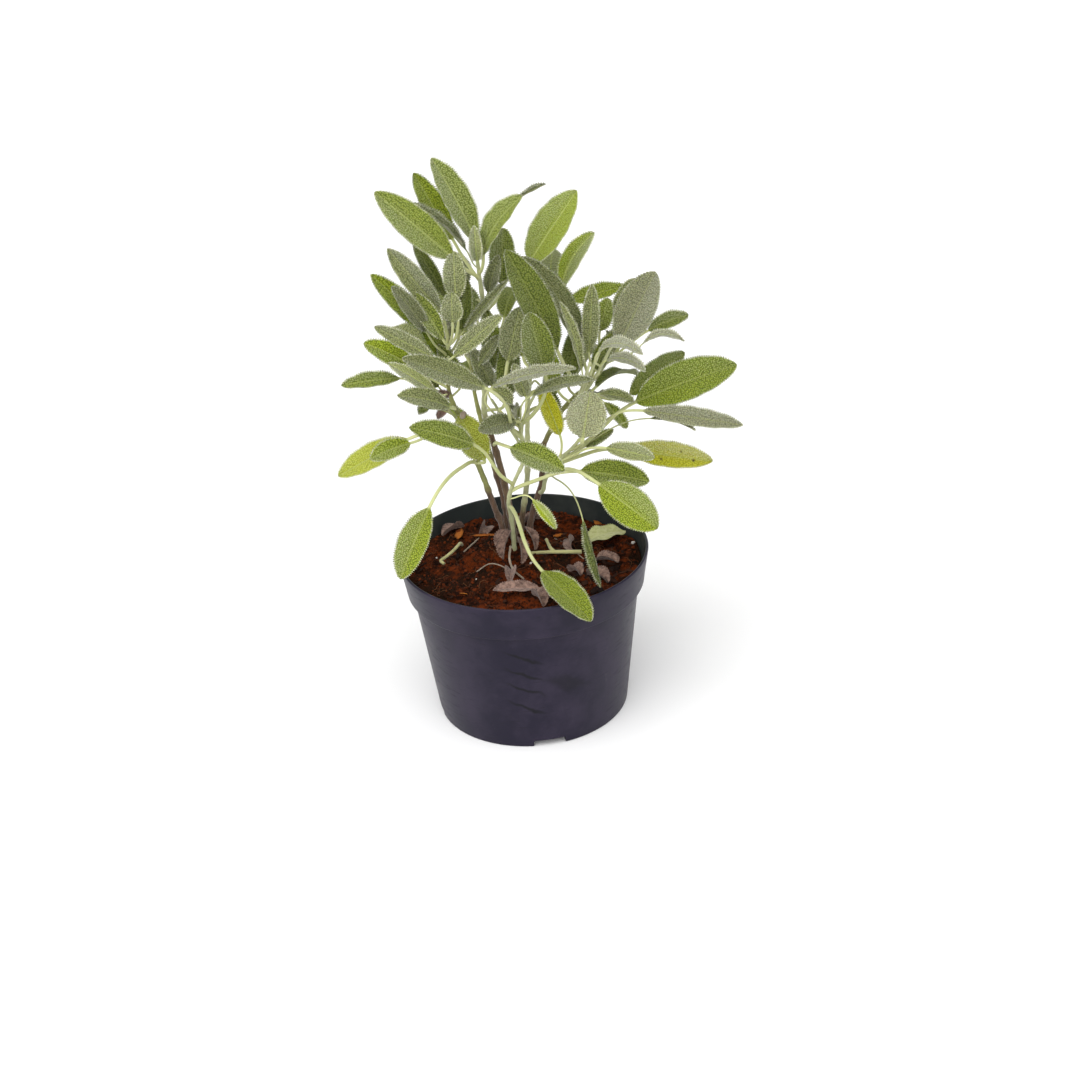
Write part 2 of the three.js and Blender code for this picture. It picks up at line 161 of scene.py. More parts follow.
class Graph:
    """One Principled material, with its constant settings, and short calls that add its nodes."""

    def __init__(self, name, constants):
        self.material = bpy.data.materials.new(name)
        self.material.use_nodes = True
        self.tree = self.material.node_tree
        self.shader = self.tree.nodes["Principled BSDF"].inputs
        for socket, value in constants.items():
            self.shader[socket].default_value = value

    def node(self, kind, inputs=(), **settings):
        made = self.tree.nodes.new(kind)
        for key, value in settings.items():
            setattr(made, key, value)
        for key, value in dict(inputs).items():
            self.link(value, made.inputs[key])
        return made

    def link(self, value, socket):
        if isinstance(value, Value):
            self.tree.links.new(value.socket, socket)
        else:
            socket.default_value = value

    def attribute(self, name, output="Fac"):
        return Value(self, self.node("ShaderNodeAttribute", attribute_name=name).outputs[output])

    def position(self):
        return Value(self, self.node("ShaderNodeTexCoord").outputs["Object"])

    def place(self, stretch=(1, 1, 1)):
        made = self.node("ShaderNodeMapping", {"Scale": stretch, "Vector": self.position()})
        return Value(self, made.outputs["Vector"])

    def noise(self, scale, detail=3, rough=0.55, place=None):
        inputs = {"Scale": scale, "Detail": detail, "Roughness": rough, "Vector": place or self.place()}
        return Value(self, self.node("ShaderNodeTexNoise", inputs).outputs["Fac"])

    def cells(self, scale, place=None, randomness=1.0):
        """Distance to the nearest cell centre: in space, or on the flat coordinates of place."""
        inputs = {"Scale": scale, "Randomness": randomness, "Vector": place or self.place()}
        made = self.node("ShaderNodeTexVoronoi", inputs, voronoi_dimensions="2D" if place else "3D")
        return Value(self, made.outputs["Distance"])

    def math(self, operation, a, b=0.0):
        made = self.node("ShaderNodeMath", operation=operation)
        self.link(a, made.inputs[0])
        self.link(b, made.inputs[1])
        return Value(self, made.outputs[0])

    def steps(self, value, low, high, to_low=0.0, to_high=1.0):
        """A smooth step from to_low, where value is low, to to_high, where it is high."""
        inputs = {"Value": value, "From Min": low, "From Max": high, "To Min": to_low, "To Max": to_high}
        made = self.node("ShaderNodeMapRange", inputs, interpolation_type="SMOOTHSTEP")
        return Value(self, made.outputs[0])

    def fades(self, value, low, high, to_low=1.0):
        """A smooth step down from to_low to nothing."""
        return self.steps(value, low, high, to_low, 0.0)

    def mix(self, share, a, b, blend="MIX"):
        made = self.node("ShaderNodeMix", {"Factor": share}, data_type="RGBA", blend_type=blend)
        for value, name in ((a, "A"), (b, "B")):
            socket = [s for s in made.inputs if s.name == name and s.type == "RGBA"][0]
            self.link((*value, 1) if isinstance(value, tuple) else value, socket)
        return Value(self, [s for s in made.outputs if s.type == "RGBA"][0])

    def bump(self, height, distance, strength=1.0, before=None):
        made = self.node("ShaderNodeBump", {"Strength": strength, "Distance": distance, "Height": height})
        if before is not None:
            self.link(before, made.inputs["Normal"])
        return Value(self, made.outputs["Normal"])

    def finish(self, colour, roughness, normal):
        for value, name in ((colour, "Base Color"), (roughness, "Roughness"), (normal, "Normal")):
            self.link(value, self.shader[name])
        return self.material


def shade(colour, share):
    return tuple(min(1, share * c) for c in colour)


# Each leaf look: upper face in the hollows, where its colour is painted shade, and on the bumps, under side,
# and how felted it is.
LEAF_LOOKS = {
    "leaf_bright": ((0.055, 0.087, 0.001), (0.350, 0.430, 0.010), (0.38, 0.42, 0.13), 0.04),
    "leaf_green": ((0.038, 0.064, 0.002), (0.300, 0.362, 0.034), (0.34, 0.38, 0.16), 0.14),
    "leaf_grey": ((0.062, 0.080, 0.018), (0.355, 0.385, 0.140), (0.40, 0.42, 0.25), 0.35),
    "leaf_silver": ((0.120, 0.128, 0.060), (0.440, 0.450, 0.240), (0.58, 0.58, 0.42), 0.55),
    "leaf_yellow": ((0.26, 0.25, 0.002), (0.62, 0.61, 0.012), (0.54, 0.52, 0.12), 0.02),
    "leaf_lime": ((0.20, 0.22, 0.012), (0.46, 0.50, 0.060), (0.46, 0.47, 0.14), 0.04),
}
MIDRIB = (0.46, 0.51, 0.16)
# The pale colour of the leaf hairs, used as well for the painted highlights on the pebbles' tops.
HAIR_AND_HIGHLIGHT = (0.66, 0.67, 0.47)
STALK_COLOURS = ((0.40, 0.43, 0.16), (0.60, 0.61, 0.34))
BROWN_SPOT = (0.06, 0.035, 0.01)
PEBBLES_PER_METRE = 880
MIDRIB_WIDTH = 0.50 * MM
MIDRIB_TIP_WIDTH = 0.18 * MM


def side_veins(graph, count, width):
    """Side veins that leave the midrib at a slant: 1 on a vein, 0 between them."""
    slant = (graph.attribute("along") - abs(graph.attribute("across")) * 0.2) * count
    return graph.fades(abs(graph.math("FRACT", slant) - 0.5), 0.0, width)


def leaf_material(name):
    hollow_shade, light, under, felt = LEAF_LOOKS[name]
    graph = Graph(name, {
        "Sheen Weight": 0.08 + 0.22 * felt,
        "Sheen Roughness": 0.4,
        "Sheen Tint": (0.9, 0.9, 0.8, 1),
        "Subsurface Weight": 0.1,
        "Subsurface Radius": (0.6, 1.0, 0.12),
        "Subsurface Scale": 0.001,
        "Specular IOR Level": 0.22,
    })
    along = graph.attribute("along")
    tone = graph.attribute("tone")
    bloom_and_sheen = graph.attribute("bloom_and_sheen")
    blotch = graph.noise(80, 3)

    # Pebbles: rounded cells a little over a millimetre across, crossed by fine hairs.
    to_centre = graph.cells(PEBBLES_PER_METRE, graph.attribute("flat_place", "Vector"), 0.7)
    pebble = graph.fades(to_centre, 0.05, 0.70)
    hair = graph.noise(4200, 2, 0.7)

    # The side veins fade before the margin, and the midrib thins towards the tip.
    vein = side_veins(graph, 13.0, 0.12) * graph.fades(abs(graph.attribute("across")), 0.5, 0.9)
    rib_width = along * -MIDRIB_WIDTH + (MIDRIB_WIDTH + MIDRIB_TIP_WIDTH)
    midrib = graph.fades(graph.attribute("off_middle") / rib_width, 0.6, 1.3)
    stalk = graph.fades(along, -0.01, 0.03)

    # Upper face: green, greyer where it has a bloom or painted sheen, with painted shade between the pebbles
    # and painted highlights on their tops.
    dull = tuple(0.62 * a + 0.38 * b for a, b in zip(light, hollow_shade))
    colour = graph.mix(graph.steps(blotch * 0.6 + tone * 0.6, 0.15, 0.95), dull, light)
    grey = tuple(0.62 * (sum(light) / 3) + 0.30 * c + 0.05 for c in light)
    colour = graph.mix(bloom_and_sheen * 0.6, colour, grey)
    # Painted shade in the hollows between the pebbles, then painted highlights in the hair colour on their
    # tops.
    hollow_shade_share = graph.steps(to_centre, 0.16, 0.70) * (bloom_and_sheen * -0.30 + 0.82)
    hollow_shade_share = hollow_shade_share * graph.steps(tone, 0.8, 1.3, 1.0, 0.4)
    pebble_highlight_share = graph.fades(to_centre, 0.06, 0.28) * (bloom_and_sheen * 0.3 + 0.16)
    colour = graph.mix(hollow_shade_share, colour, hollow_shade)
    colour = graph.mix(pebble_highlight_share, colour, HAIR_AND_HIGHLIGHT)
    colour = graph.mix(graph.steps(hair, 0.55, 0.74, 0.0, 0.16 + 0.34 * felt), colour, HAIR_AND_HIGHLIGHT)
    colour = graph.mix(vein * 0.10, colour, light)
    colour = graph.mix(midrib * (tone * 0.4 + 0.2), colour, MIDRIB)

    # Under side, with painted shade in the hollows between the pebbles, then the pale hairy margin and the
    # petiole.
    under_colour = graph.mix(graph.fades(pebble, 0.1, 0.9, 0.5), under, shade(under, 0.5))
    under_colour = graph.mix(vein * 0.5, under_colour, MIDRIB)
    under_colour = graph.mix(midrib * 0.8, under_colour, MIDRIB)
    colour = graph.mix(graph.steps(graph.attribute("below"), 0.4, 0.6), colour, under_colour)
    edge_hairs = graph.steps(graph.noise(1300, 2, 0.6), 0.44, 0.56, 0.10, 1.0)
    rim = graph.fades(graph.attribute("from_edge"), 0.4 * MM, 1.2 * MM) * edge_hairs
    colour = graph.mix(rim, colour, HAIR_AND_HIGHLIGHT)
    colour = graph.mix(stalk, colour, graph.mix(blotch, *STALK_COLOURS))
    # Tone lightens or darkens the whole leaf: partly its own colour, partly painted light and shade.
    colour = graph.mix(1.0, colour, tone * 0.55 + 0.70, "MULTIPLY")
    colour = graph.mix(graph.attribute("spot"), colour, BROWN_SPOT)

    relief = (pebble - vein * 0.6) * (stalk * -1.0 + 1.0)
    normal = graph.bump(relief, 0.8 * MM)
    normal = graph.bump(hair, 0.12 * MM, 0.6, normal)
    return graph.finish(colour, graph.steps(blotch, 0.2, 0.8, 0.55, 0.72), normal)


STEM_HAIRS = (0.55, 0.56, 0.40)
STEM_SHADE = (0.05, 0.03, 0.015)


def stem_material(name, young, old, bark):
    """young and old are the colours of the green and the woody end; bark is the relief of the woody end."""
    graph = Graph(name, {"Sheen Weight": 0.3, "Sheen Roughness": 0.5, "Specular IOR Level": 0.3})
    streak = graph.noise(900, 4, 0.6, graph.place((1, 1, 0.12)))
    patch = graph.noise(140, 3)
    fibre = graph.noise(4200, 2, 0.7)
    woody = graph.steps(graph.attribute("age") + (patch - 0.5) * 0.5, 0.35, 0.7)
    green = graph.mix(graph.steps(patch, 0.3, 0.7), young, shade(young, 0.72))
    brown = graph.mix(graph.steps(streak, 0.35, 0.65), old, shade(old, 2.0))
    colour = graph.mix(woody, green, brown)
    colour = graph.mix(graph.steps(fibre, 0.55, 0.75) * 0.35, colour, STEM_HAIRS)
    colour = graph.mix(graph.attribute("tone") * 0.25, colour, STEM_SHADE)
    normal = graph.bump(streak * woody, bark)
    normal = graph.bump(fibre, 0.1 * MM, 0.5, normal)
    return graph.finish(colour, graph.steps(streak, 0.2, 0.8, 0.6, 0.85), normal)


# The dark marks on the pot's front, in metres: each smear's height on the middle line, and the blot's place.
SMEAR_HEIGHTS = (0.067, 0.054, 0.043, 0.029)
SMEAR_SLOPE = 0.42
SMEAR_MIDDLE_X = -0.004
BLOT_X = 0.021
BLOT_HEIGHT = 0.055


def pot_marks(graph, x, y, z):
    """Four slanting smears and one blot on the front of the pot: 1 where it is darkest."""
    wander = (graph.noise(120, 2) - 0.5) * 0.006
    level = x * SMEAR_SLOPE + z + wander
    smears = 0.0
    for height in SMEAR_HEIGHTS:
        smears = graph.math("MAXIMUM", graph.fades(abs(level - height), 0.2 * MM, 1.8 * MM), smears)
    smears = smears * graph.fades(abs(x - SMEAR_MIDDLE_X), 0.004, 0.015)
    from_blot = abs((x - BLOT_X) * 0.5) + abs(level - BLOT_HEIGHT)
    smears = graph.math("MAXIMUM", smears, graph.fades(from_blot, 0.003, 0.010, 0.55))
    return smears * graph.fades(y, -0.05, -0.03)


def inside_pot(graph, x, y, z):
    """1 on the inner face of the collar, above the soil."""
    radius = graph.math("SQRT", x * x + y * y)
    band_slope = (RIM_RADIUS - BAND_FOOT_RADIUS) / (POT_HEIGHT - BAND_FOOT)
    mid_wall = z * band_slope + (BAND_FOOT_RADIUS - BAND_FOOT * band_slope - WALL / 2) * MM
    return graph.fades(radius - mid_wall, -0.4 * MM, 0.0) * graph.steps(z, 0.089, 0.090)


def pot_material():
    """Satin black plastic with a blue cast: dusty patches, fine scuffs and a few dark smears on the front."""
    graph = Graph("pot_plastic", {"Specular IOR Level": 0.20})
    dust = graph.noise(34, 5, 0.62)
    speck = graph.noise(900, 2, 0.6)
    scuff = graph.noise(95, 4, 0.7, graph.place((1, 1, 0.28)))
    scratch = graph.noise(260, 3, 0.55, graph.place((0.35, 0.35, 2.4)))
    split = graph.node("ShaderNodeSeparateXYZ", {"Vector": graph.position()})
    place = [Value(graph, socket) for socket in split.outputs]
    colour = graph.mix(graph.steps(dust, 0.35, 0.75), (0.0085, 0.0062, 0.0185), (0.024, 0.018, 0.036))
    colour = graph.mix(graph.steps(scratch, 0.62, 0.72, 0.0, 0.45), colour, (0.008, 0.007, 0.013))
    colour = graph.mix(graph.steps(scuff, 0.66, 0.8, 0.0, 0.30), colour, (0.085, 0.075, 0.085))
    colour = graph.mix(graph.steps(speck, 0.72, 0.8, 0.0, 0.35), colour, (0.15, 0.13, 0.11))
    colour = graph.mix(pot_marks(graph, *place) * 0.9, colour, (0.002, 0.0015, 0.004))
    inner_colour = graph.mix(graph.steps(dust, 0.35, 0.7), (0.022, 0.028, 0.027), (0.045, 0.050, 0.045))
    colour = graph.mix(inside_pot(graph, *place) * 0.9, colour, inner_colour)
    rough = graph.steps(dust, 0.3, 0.8, 0.34, 0.48) + graph.steps(scratch, 0.5, 0.75, 0.0, 0.1)
    normal = graph.bump(graph.noise(2600, 2), 0.05 * MM, 0.35)
    normal = graph.bump(scuff, 0.3 * MM, 0.25, normal)
    return graph.finish(colour, rough, normal)


def soil_material():
    graph = Graph("soil_ground", {"Specular IOR Level": 0.12})
    clump = graph.noise(150, 5, 0.65)
    fine = graph.noise(2600, 3, 0.7)
    damp = graph.noise(30, 4, 0.6)
    colour = graph.mix(graph.steps(clump, 0.38, 0.62), (0.010, 0.0022, 0.0006), (0.128, 0.0225, 0.0026))
    colour = graph.mix(graph.steps(damp, 0.46, 0.58, 0.0, 0.85), colour, (0.009, 0.005, 0.002))
    colour = graph.mix(graph.steps(fine, 0.55, 0.75, 0.0, 0.6), colour, (0.17, 0.040, 0.007))
    normal = graph.bump(graph.cells(900), 0.8 * MM, 0.8)
    normal = graph.bump(fine, 0.4 * MM, 0.8, normal)
    return graph.finish(colour, 0.95, normal)


def crumb_material(name, dark, light):
    """Crumbs and chips: each one has its own tone."""
    graph = Graph(name, {"Specular IOR Level": 0.15})
    fleck = graph.noise(1800, 3, 0.65)
    colour = graph.mix(graph.attribute("tone"), dark, light)
    colour = graph.mix(graph.steps(fleck, 0.4, 0.7, 0.0, 0.5), colour, shade(dark, 0.4))
    return graph.finish(colour, 0.9, graph.bump(fleck, 0.3 * MM, 0.8))


def dead_leaf_material(name, dark, light):
    graph = Graph(name, {"Sheen Weight": 0.2})
    crease = graph.noise(420, 4, 0.65)
    vein = side_veins(graph, 11.0, 0.16)
    midrib = graph.fades(abs(graph.attribute("across")), 0.03, 0.1)
    colour = graph.mix(graph.steps(crease, 0.3, 0.7), dark, light)
    colour = graph.mix(vein * 0.35, colour, light)
    colour = graph.mix(midrib * 0.6, colour, light)
    return graph.finish(colour, 0.85, graph.bump(crease + vein * 0.5, 0.5 * MM, 0.8))


# ---- Mesh helpers -----------------------------------------------------------------------------


def add_piece(name, points, faces, material, attributes=None):
    """A finished piece of the object: a smooth-shaded mesh that rides on the one body."""
    mesh = bpy.data.meshes.new(name)
    mesh.from_pydata(np.asarray(points, float).tolist(), [], faces)
    mesh.polygons.foreach_set("use_smooth", [True] * len(mesh.polygons))
    for key, values in (attributes or {}).items():
        values = np.asarray(values, np.float32)
        if values.ndim == 2:
            mesh.attributes.new(key, "FLOAT_VECTOR", "POINT").data.foreach_set("vector", values.ravel())
        else:
            mesh.attributes.new(key, "FLOAT", "POINT").data.foreach_set("value", values)
    mesh.materials.append(material)
    piece = bpy.data.objects.new(name, mesh)
    bpy.context.scene.collection.objects.link(piece)
    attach(piece, ROOT)
    return piece


def unit(v):
    return v / np.maximum(np.linalg.norm(v, axis=-1, keepdims=True), 1e-12)


def smooth_path(knots, shares, at):
    """Catmull-Rom through knots placed at shares, sampled at the values in at."""
    knots = np.asarray(knots, float)
    shares = np.asarray(shares, float)
    slopes = np.gradient(knots, shares, axis=0)
    k = np.clip(np.searchsorted(shares, at, side="right") - 1, 0, len(shares) - 2)
    gap = (shares[k + 1] - shares[k])[:, None]
    t = ((at - shares[k]) / gap[:, 0])[:, None]
    a, b = knots[k], knots[k + 1]
    ma, mb = slopes[k] * gap, slopes[k + 1] * gap
    leaving = (2 * t**3 - 3 * t**2 + 1) * a + (t**3 - 2 * t**2 + t) * ma
    return leaving + (3 * t**2 - 2 * t**3) * b + (t**3 - t**2) * mb


def path_shares(points):
    """How far along each point lies, in metres from the first."""
    steps = np.linalg.norm(np.diff(points, axis=0), axis=1)
    return np.concatenate([[0], np.cumsum(steps)])


def ring_faces(rows, around, closed_end=True):
    """Quads between rows of rings, with a cap of one polygon at the start and, if closed_end, at the end."""
    faces = []
    for r in range(rows - 1):
        a, b = r * around, (r + 1) * around
        for k in range(around):
            n = (k + 1) % around
            faces.append((a + k, a + n, b + n, b + k))
    faces.append(tuple(range(around - 1, -1, -1)))
    if closed_end:
        last = (rows - 1) * around
        faces.append(tuple(range(last, last + around)))
    return faces


# ---- Reading the CAD rings --------------------------------------------------------------------

STEM_SIDES = 7
LEAF_RING = 7
LEAF_STATIONS = np.array([0, 0.1, 0.27, 0.48, 0.7, 0.89, 1.0])
BLADE_RINGS = 6


def layers_from(start, near):
    """Vertices by how many edges they are from the start, and each one's layer number."""
    depth = {start: 0}
    layer = [start]
    layers = []
    while layer:
        layers.append(layer)
        layer = sorted({j for i in layer for j in near[i] if j not in depth})
        for j in layer:
            depth[j] = len(layers)
    return depth, layers


def cad_rings(node, sides):
    """The rings of points of a lofted CAD solid, from one pole to the other, each in order round the ring."""
    mesh = frame["nodes"][node].data
    places = np.array([v.co for v in mesh.vertices], float)
    rounded = np.round(places * 1e5).astype(np.int64)
    _, first, merged = np.unique(rounded, axis=0, return_index=True, return_inverse=True)
    merged = merged.ravel()
    points = places[first]
    near = [set() for _ in points]
    for edge in mesh.edges:
        a, b = merged[edge.vertices[0]], merged[edge.vertices[1]]
        if a != b:
            near[a].add(int(b))
            near[b].add(int(a))
    lowest_first = "_stem" in node or node == "twig"

    def rank(i):
        """A stem starts at its lower pole, and a leaf at the pole with the closest ring."""
        if lowest_first:
            return points[i][2]
        return np.linalg.norm(points[list(near[i])] - points[i], axis=1).mean()

    ends = sorted((i for i, others in enumerate(near) if len(others) == sides), key=rank)
    for start in ends:
        depth, layers = layers_from(start, near)
        if len(layers[-1]) == 1 and all(len(layer) == sides for layer in layers[1:-1]):
            break
    rings = []
    for layer in layers[1:-1]:
        order = [layer[0]]
        while len(order) < len(layer):
            options = [j for j in near[order[-1]] if depth[j] == depth[layer[0]] and j not in order]
            order.append(min(options))
        rings.append(points[order])
    return points[start], rings, points[layers[-1][0]]


def blade_frame(ring, tangent, normal_before):
    """Centre, side, normal, half width and fold of one CAD blade ring."""
    best = max(range(LEAF_RING), key=lambda i: np.linalg.norm(ring[i] - ring[(i + 4) % LEAF_RING]))
    left, right = ring[best], ring[(best + 4) % LEAF_RING]
    middle = ring[(best + 2) % LEAF_RING]
    under = (ring[(best + 5) % LEAF_RING] + ring[(best + 6) % LEAF_RING]) / 2
    normal = middle - under
    side = unit(np.cross(tangent, normal))
    normal = unit(np.cross(side, tangent))
    if normal_before is not None and normal @ normal_before < 0:
        normal, side = -normal, -side
    if (right - left) @ side < 0:
        left, right = right, left
    half = np.linalg.norm(right - left) / 2
    lift = ((left + right) / 2 - middle) @ normal
    return middle, side, normal, math.hypot(half, lift), math.atan2(lift, half)


def cad_leaf(node, tip_first=False):
    """Stations of a leaf from its CAD solid: petiole points, then centre, side, normal, half width and fold.

    A leaf with no petiole starts at its base pole, or at its tip if tip_first.
    """
    start, rings, tip = cad_rings(node, LEAF_RING)
    if tip_first:
        start, rings, tip = tip, rings[::-1], start
    has_stalk = len(rings) >= BLADE_RINGS
    stalk = [ring.mean(axis=0) for ring in rings[:-BLADE_RINGS]]
    blade = rings[-BLADE_RINGS:]
    rough_centres = [ring.mean(axis=0) for ring in blade] + [tip]
    frames = []
    normal = None
    for k, ring in enumerate(blade):
        tangent = unit(rough_centres[k + 1] - rough_centres[max(k - 1, 0)])
        frames.append(blade_frame(ring, tangent, normal))
        normal = frames[-1][2]
    centres = [f[0] for f in frames] + [tip]
    normals = [f[2] for f in frames] + [frames[-1][2]]
    if not has_stalk:
        centres.insert(0, start)
        normals.insert(0, normals[0])
    return {
        "stalk": np.array(stalk).reshape(-1, 3),
        "centres": np.array(centres),
        "normals": np.array(normals),
        "half_width": max(f[3] for f in frames),
        "fold": float(np.mean([f[4] for f in frames[2:5]])),
    }


# ---- Stems ------------------------------------------------------------------------------------

STEMS = ("tall", "left", "front", "right", "centre", "back", "low_right")
STEM_NODES = [stem + "_stem" for stem in STEMS]
STEM_AROUND = 18
STEM_ROW = 1.1 * MM
STEM_SLIMMING = 0.88
FIRST_SWELLING = 0.018
SWELLING_PITCH = 0.021
SWELLING_LENGTH = 0.0022
stem_lines = {}


def read_stem(node):
    _, rings, _ = cad_rings(node, STEM_SIDES)
    centres = np.array([ring.mean(axis=0) for ring in rings])
    radii = np.array([np.linalg.norm(ring - c, axis=1).mean() for ring, c in zip(rings, centres)])
    stem_lines[node] = (centres, radii)


def point_on_stem(stem, height):
    """Centre and radius of a stem at a height, in metres."""
    centres, radii = stem_lines[stem]
    centre = np.array([np.interp(height, centres[:, 2], centres[:, k]) for k in range(3)])
    return centre, float(np.interp(height, centres[:, 2], radii))


# ---- Leaves -----------------------------------------------------------------------------------

ACROSS = np.array([0, 0.06, 0.14, 0.25, 0.38, 0.52, 0.66, 0.79, 0.89, 0.96, 1.0])
TOP_ACROSS = np.concatenate([-ACROSS[::-1], ACROSS[1:]])
UNDER_ACROSS = TOP_ACROSS[-2:0:-1]
RING_ACROSS = np.concatenate([TOP_ACROSS, UNDER_ACROSS])
RING_BELOW = np.concatenate([np.zeros(len(TOP_ACROSS)), np.ones(len(UNDER_ACROSS))])
RING_BELOW[[0, len(TOP_ACROSS) - 1]] = 0.5
WIDEST_AT = 0.48
TOOTH_PITCH = 1.25 * MM
TOOTH_HEIGHT = 0.58 * MM
STALK_ROW = 1.2 * MM
STALK_RADIUS = 0.88 * MM
REACH_DOWN = 2.5 * MM
MOST_REACH = 16 * MM


def outline(t):
    """Half width of a sage leaf as a share of its widest, from base (0) to tip (1)."""
    before = np.clip((WIDEST_AT - t) / WIDEST_AT, 0, 1)
    after = np.clip((t - WIDEST_AT) / (1 - WIDEST_AT), 0, 1)
    return np.where(t < WIDEST_AT, (1 - before**2) ** 0.70, (1 - after**2.1) ** 0.66)


def leaf_line(stations, length):
    """The middle line, the way it faces, and each row's share of the blade: below 0 in the petiole."""
    centres, stalk = stations["centres"], stations["stalk"]
    blade_rows = int(np.clip(length / TOOTH_PITCH * 2, 24, 150))
    t_blade = np.linspace(0, 1, blade_rows)
    line = smooth_path(centres, LEAF_STATIONS, t_blade)
    facing = unit(smooth_path(stations["normals"], LEAF_STATIONS, t_blade))
    if not len(stalk):
        return line, facing, t_blade
    knots = np.vstack([stalk, centres[:2]])
    shares = path_shares(knots)
    to_base = shares[len(stalk)]
    stalk_rows = max(4, int(to_base / STALK_ROW))
    at = np.linspace(0, to_base, stalk_rows, endpoint=False)
    line = np.vstack([smooth_path(knots, shares, at), line])
    facing = np.vstack([np.repeat(facing[:1], stalk_rows, axis=0), facing])
    return line, facing, np.concatenate([-(to_base - at) / length, t_blade])


def build_leaf(name, stations, material, seed, wave=0.5, crumple=0.0, teeth=1.0, spots=(),
               tone=None, grey_bloom=0.0):
    """One leaf with its petiole: a closed skin of rings, round in the petiole and thin in the blade."""
    rng = random.Random(seed)
    half_width, fold = stations["half_width"], stations["fold"]
    length = path_shares(stations["centres"])[-1]
    line, facing, t_all = leaf_line(stations, length)
    tangent = unit(np.gradient(line, axis=0))
    side = unit(np.cross(tangent, facing))
    normal = unit(np.cross(side, tangent))

    rows = len(t_all)
    t = np.clip(t_all, 0, 1)
    blade = np.clip(t / 0.10, 0, 1)
    blade = blade * blade * (3 - 2 * blade)
    size = half_width / (7 * MM)
    stalk_radius = STALK_RADIUS * np.clip(size, 0.5, 1.2)
    stalk_swell = 1 + 0.15 * np.clip(-t_all * length / 0.02 - 0.6, 0, 1)
    stalk_half = stalk_radius * np.clip(1 - 1.3 * t, 0, 1) * stalk_swell
    half = np.sqrt((half_width * outline(t)) ** 2 + stalk_half**2)
    tooth = np.where(np.arange(rows) % 2 == 0, 1.0, -1.0) * teeth * TOOTH_HEIGHT
    tooth = tooth * blade * np.clip((1 - t) * 12, 0, 1)
    phase = rng.uniform(0, 6.3)
    turns = 2 * math.pi * length / (13 * MM) * t
    swing = wave * 0.9 * MM * np.sin(turns + phase) * blade
    other = wave * 0.9 * MM * np.sin(turns * 1.13 + phase + 2.1) * blade

    points = np.zeros((rows, len(RING_ACROSS), 3))
    for k, (u, below) in enumerate(zip(RING_ACROSS, RING_BELOW)):
        edge = abs(u)
        x = u * (half + (tooth if edge > 0.9 else 0))
        height = np.abs(x) * math.tan(fold) * blade * (0.75 + 0.5 * edge)
        height = height + (swing if u > 0 else other) * edge**2.5
        if below == 0.5:
            height = height + tooth * 0.7
        else:
            groove = -0.28 * MM * np.exp(-((x / (0.7 * MM)) ** 2)) * blade
            veins = np.sin((t * 13 - 2.6 * edge) * 2 * math.pi)
            slope = veins * 0.10 * MM * blade * (1 - edge) * min(1, edge * 5)
            roundness = stalk_half * math.sqrt(1 - u * u) * (1 - blade)
            height = height + groove + slope + (-roundness if below else roundness * 0.8)
        if below == 1:
            rib_size = 0.85 * MM * np.clip(1.05 - t, 0, 1) ** 0.8 * min(1.0, size)
            rib = -rib_size * np.exp(-((x / (0.75 * MM)) ** 2)) * blade
            height = height + rib - (0.42 * MM * (1 - edge**3) + 0.05 * MM) * blade
        points[:, k] = line + side * x[:, None] + normal * height[:, None]
    if crumple:
        for r in range(rows):
            push = crumple * (0.3 + 0.7 * min(1, max(0, t_all[r]) * 5))
            for k in range(points.shape[1]):
                points[r, k] += np.array(noise.noise_vector(Vector(points[r, k] * 85 + seed))) * push
    points[-1, :] = line[-1] + normal[-1] * 0.1 * MM
    grit = np.random.default_rng(seed).normal(0, 0.06 * MM, points.shape[:2]) * blade[:, None]
    points += normal[:, None, :] * grit[..., None]

    around = len(RING_ACROSS)
    flat = np.vstack([points[:-1].reshape(-1, 3), points[-1, :1]])
    pole = len(flat) - 1
    last = (rows - 2) * around
    faces = ring_faces(rows - 1, around, closed_end=False)
    faces += [(last + k, last + (k + 1) % around, pole) for k in range(around)]
    across = np.append(np.tile(RING_ACROSS, rows - 1), 0)
    along = np.append(np.repeat(t_all[:-1], around), 1)
    below = np.append(np.tile(RING_BELOW, rows - 1), 0)
    from_middle = np.abs(RING_ACROSS)[None, :]
    off_middle = np.append((from_middle * half[:-1, None]).ravel(), 0)
    from_edge = (1 - from_middle) * half[:-1, None] + 0.002 * (1 - blade[:-1, None])
    # One half of the blade is greyer than the other: painted sheen, as on a folded leaf whose one half meets
    # the light at a glancing angle.
    painted_sheen_half = rng.choice((-1, 1)) * rng.uniform(0.1, 0.45)
    to_tip = rng.uniform(-0.1, 0.35)
    # Greyness: the leaf's own bloom, plus the painted sheen on one half.
    bloom_and_sheen = grey_bloom + rng.uniform(0, 0.35) + painted_sheen_half * np.clip(across * 3, -1, 1) + to_tip * along
    spot = np.zeros(len(flat))
    for spot_along, spot_across, radius in spots:
        spot_half = half_width * outline(spot_along)
        away = np.hypot((along - spot_along) * length, (across - spot_across) * spot_half)
        spot = np.maximum(spot, np.clip(1.6 - away / (radius * MM), 0, 1) * (below < 0.6))
    flat_x = off_middle * np.where(across < 0, -1, 1) + seed
    return add_piece(name, flat, faces, material, {
        "across": across,
        "along": along,
        "below": below,
        "tone": np.full(len(flat), rng.uniform(0.1, 0.9) if tone is None else tone),
        "bloom_and_sheen": np.clip(bloom_and_sheen, 0, 1),
        "off_middle": off_middle,
        "flat_place": np.stack([flat_x, along * length, off_middle * 0], axis=1),
        "from_edge": np.append(from_edge.ravel(), 0),
        "spot": spot,
    })


def facing_vector(tilt, lean):
    """The way an upper face looks: tilt leans it from straight up to the front, and lean to the right."""
    t, l = math.radians(tilt), math.radians(lean)
    return np.array([math.sin(l), -math.cos(l) * math.sin(t), math.cos(l) * math.cos(t)])


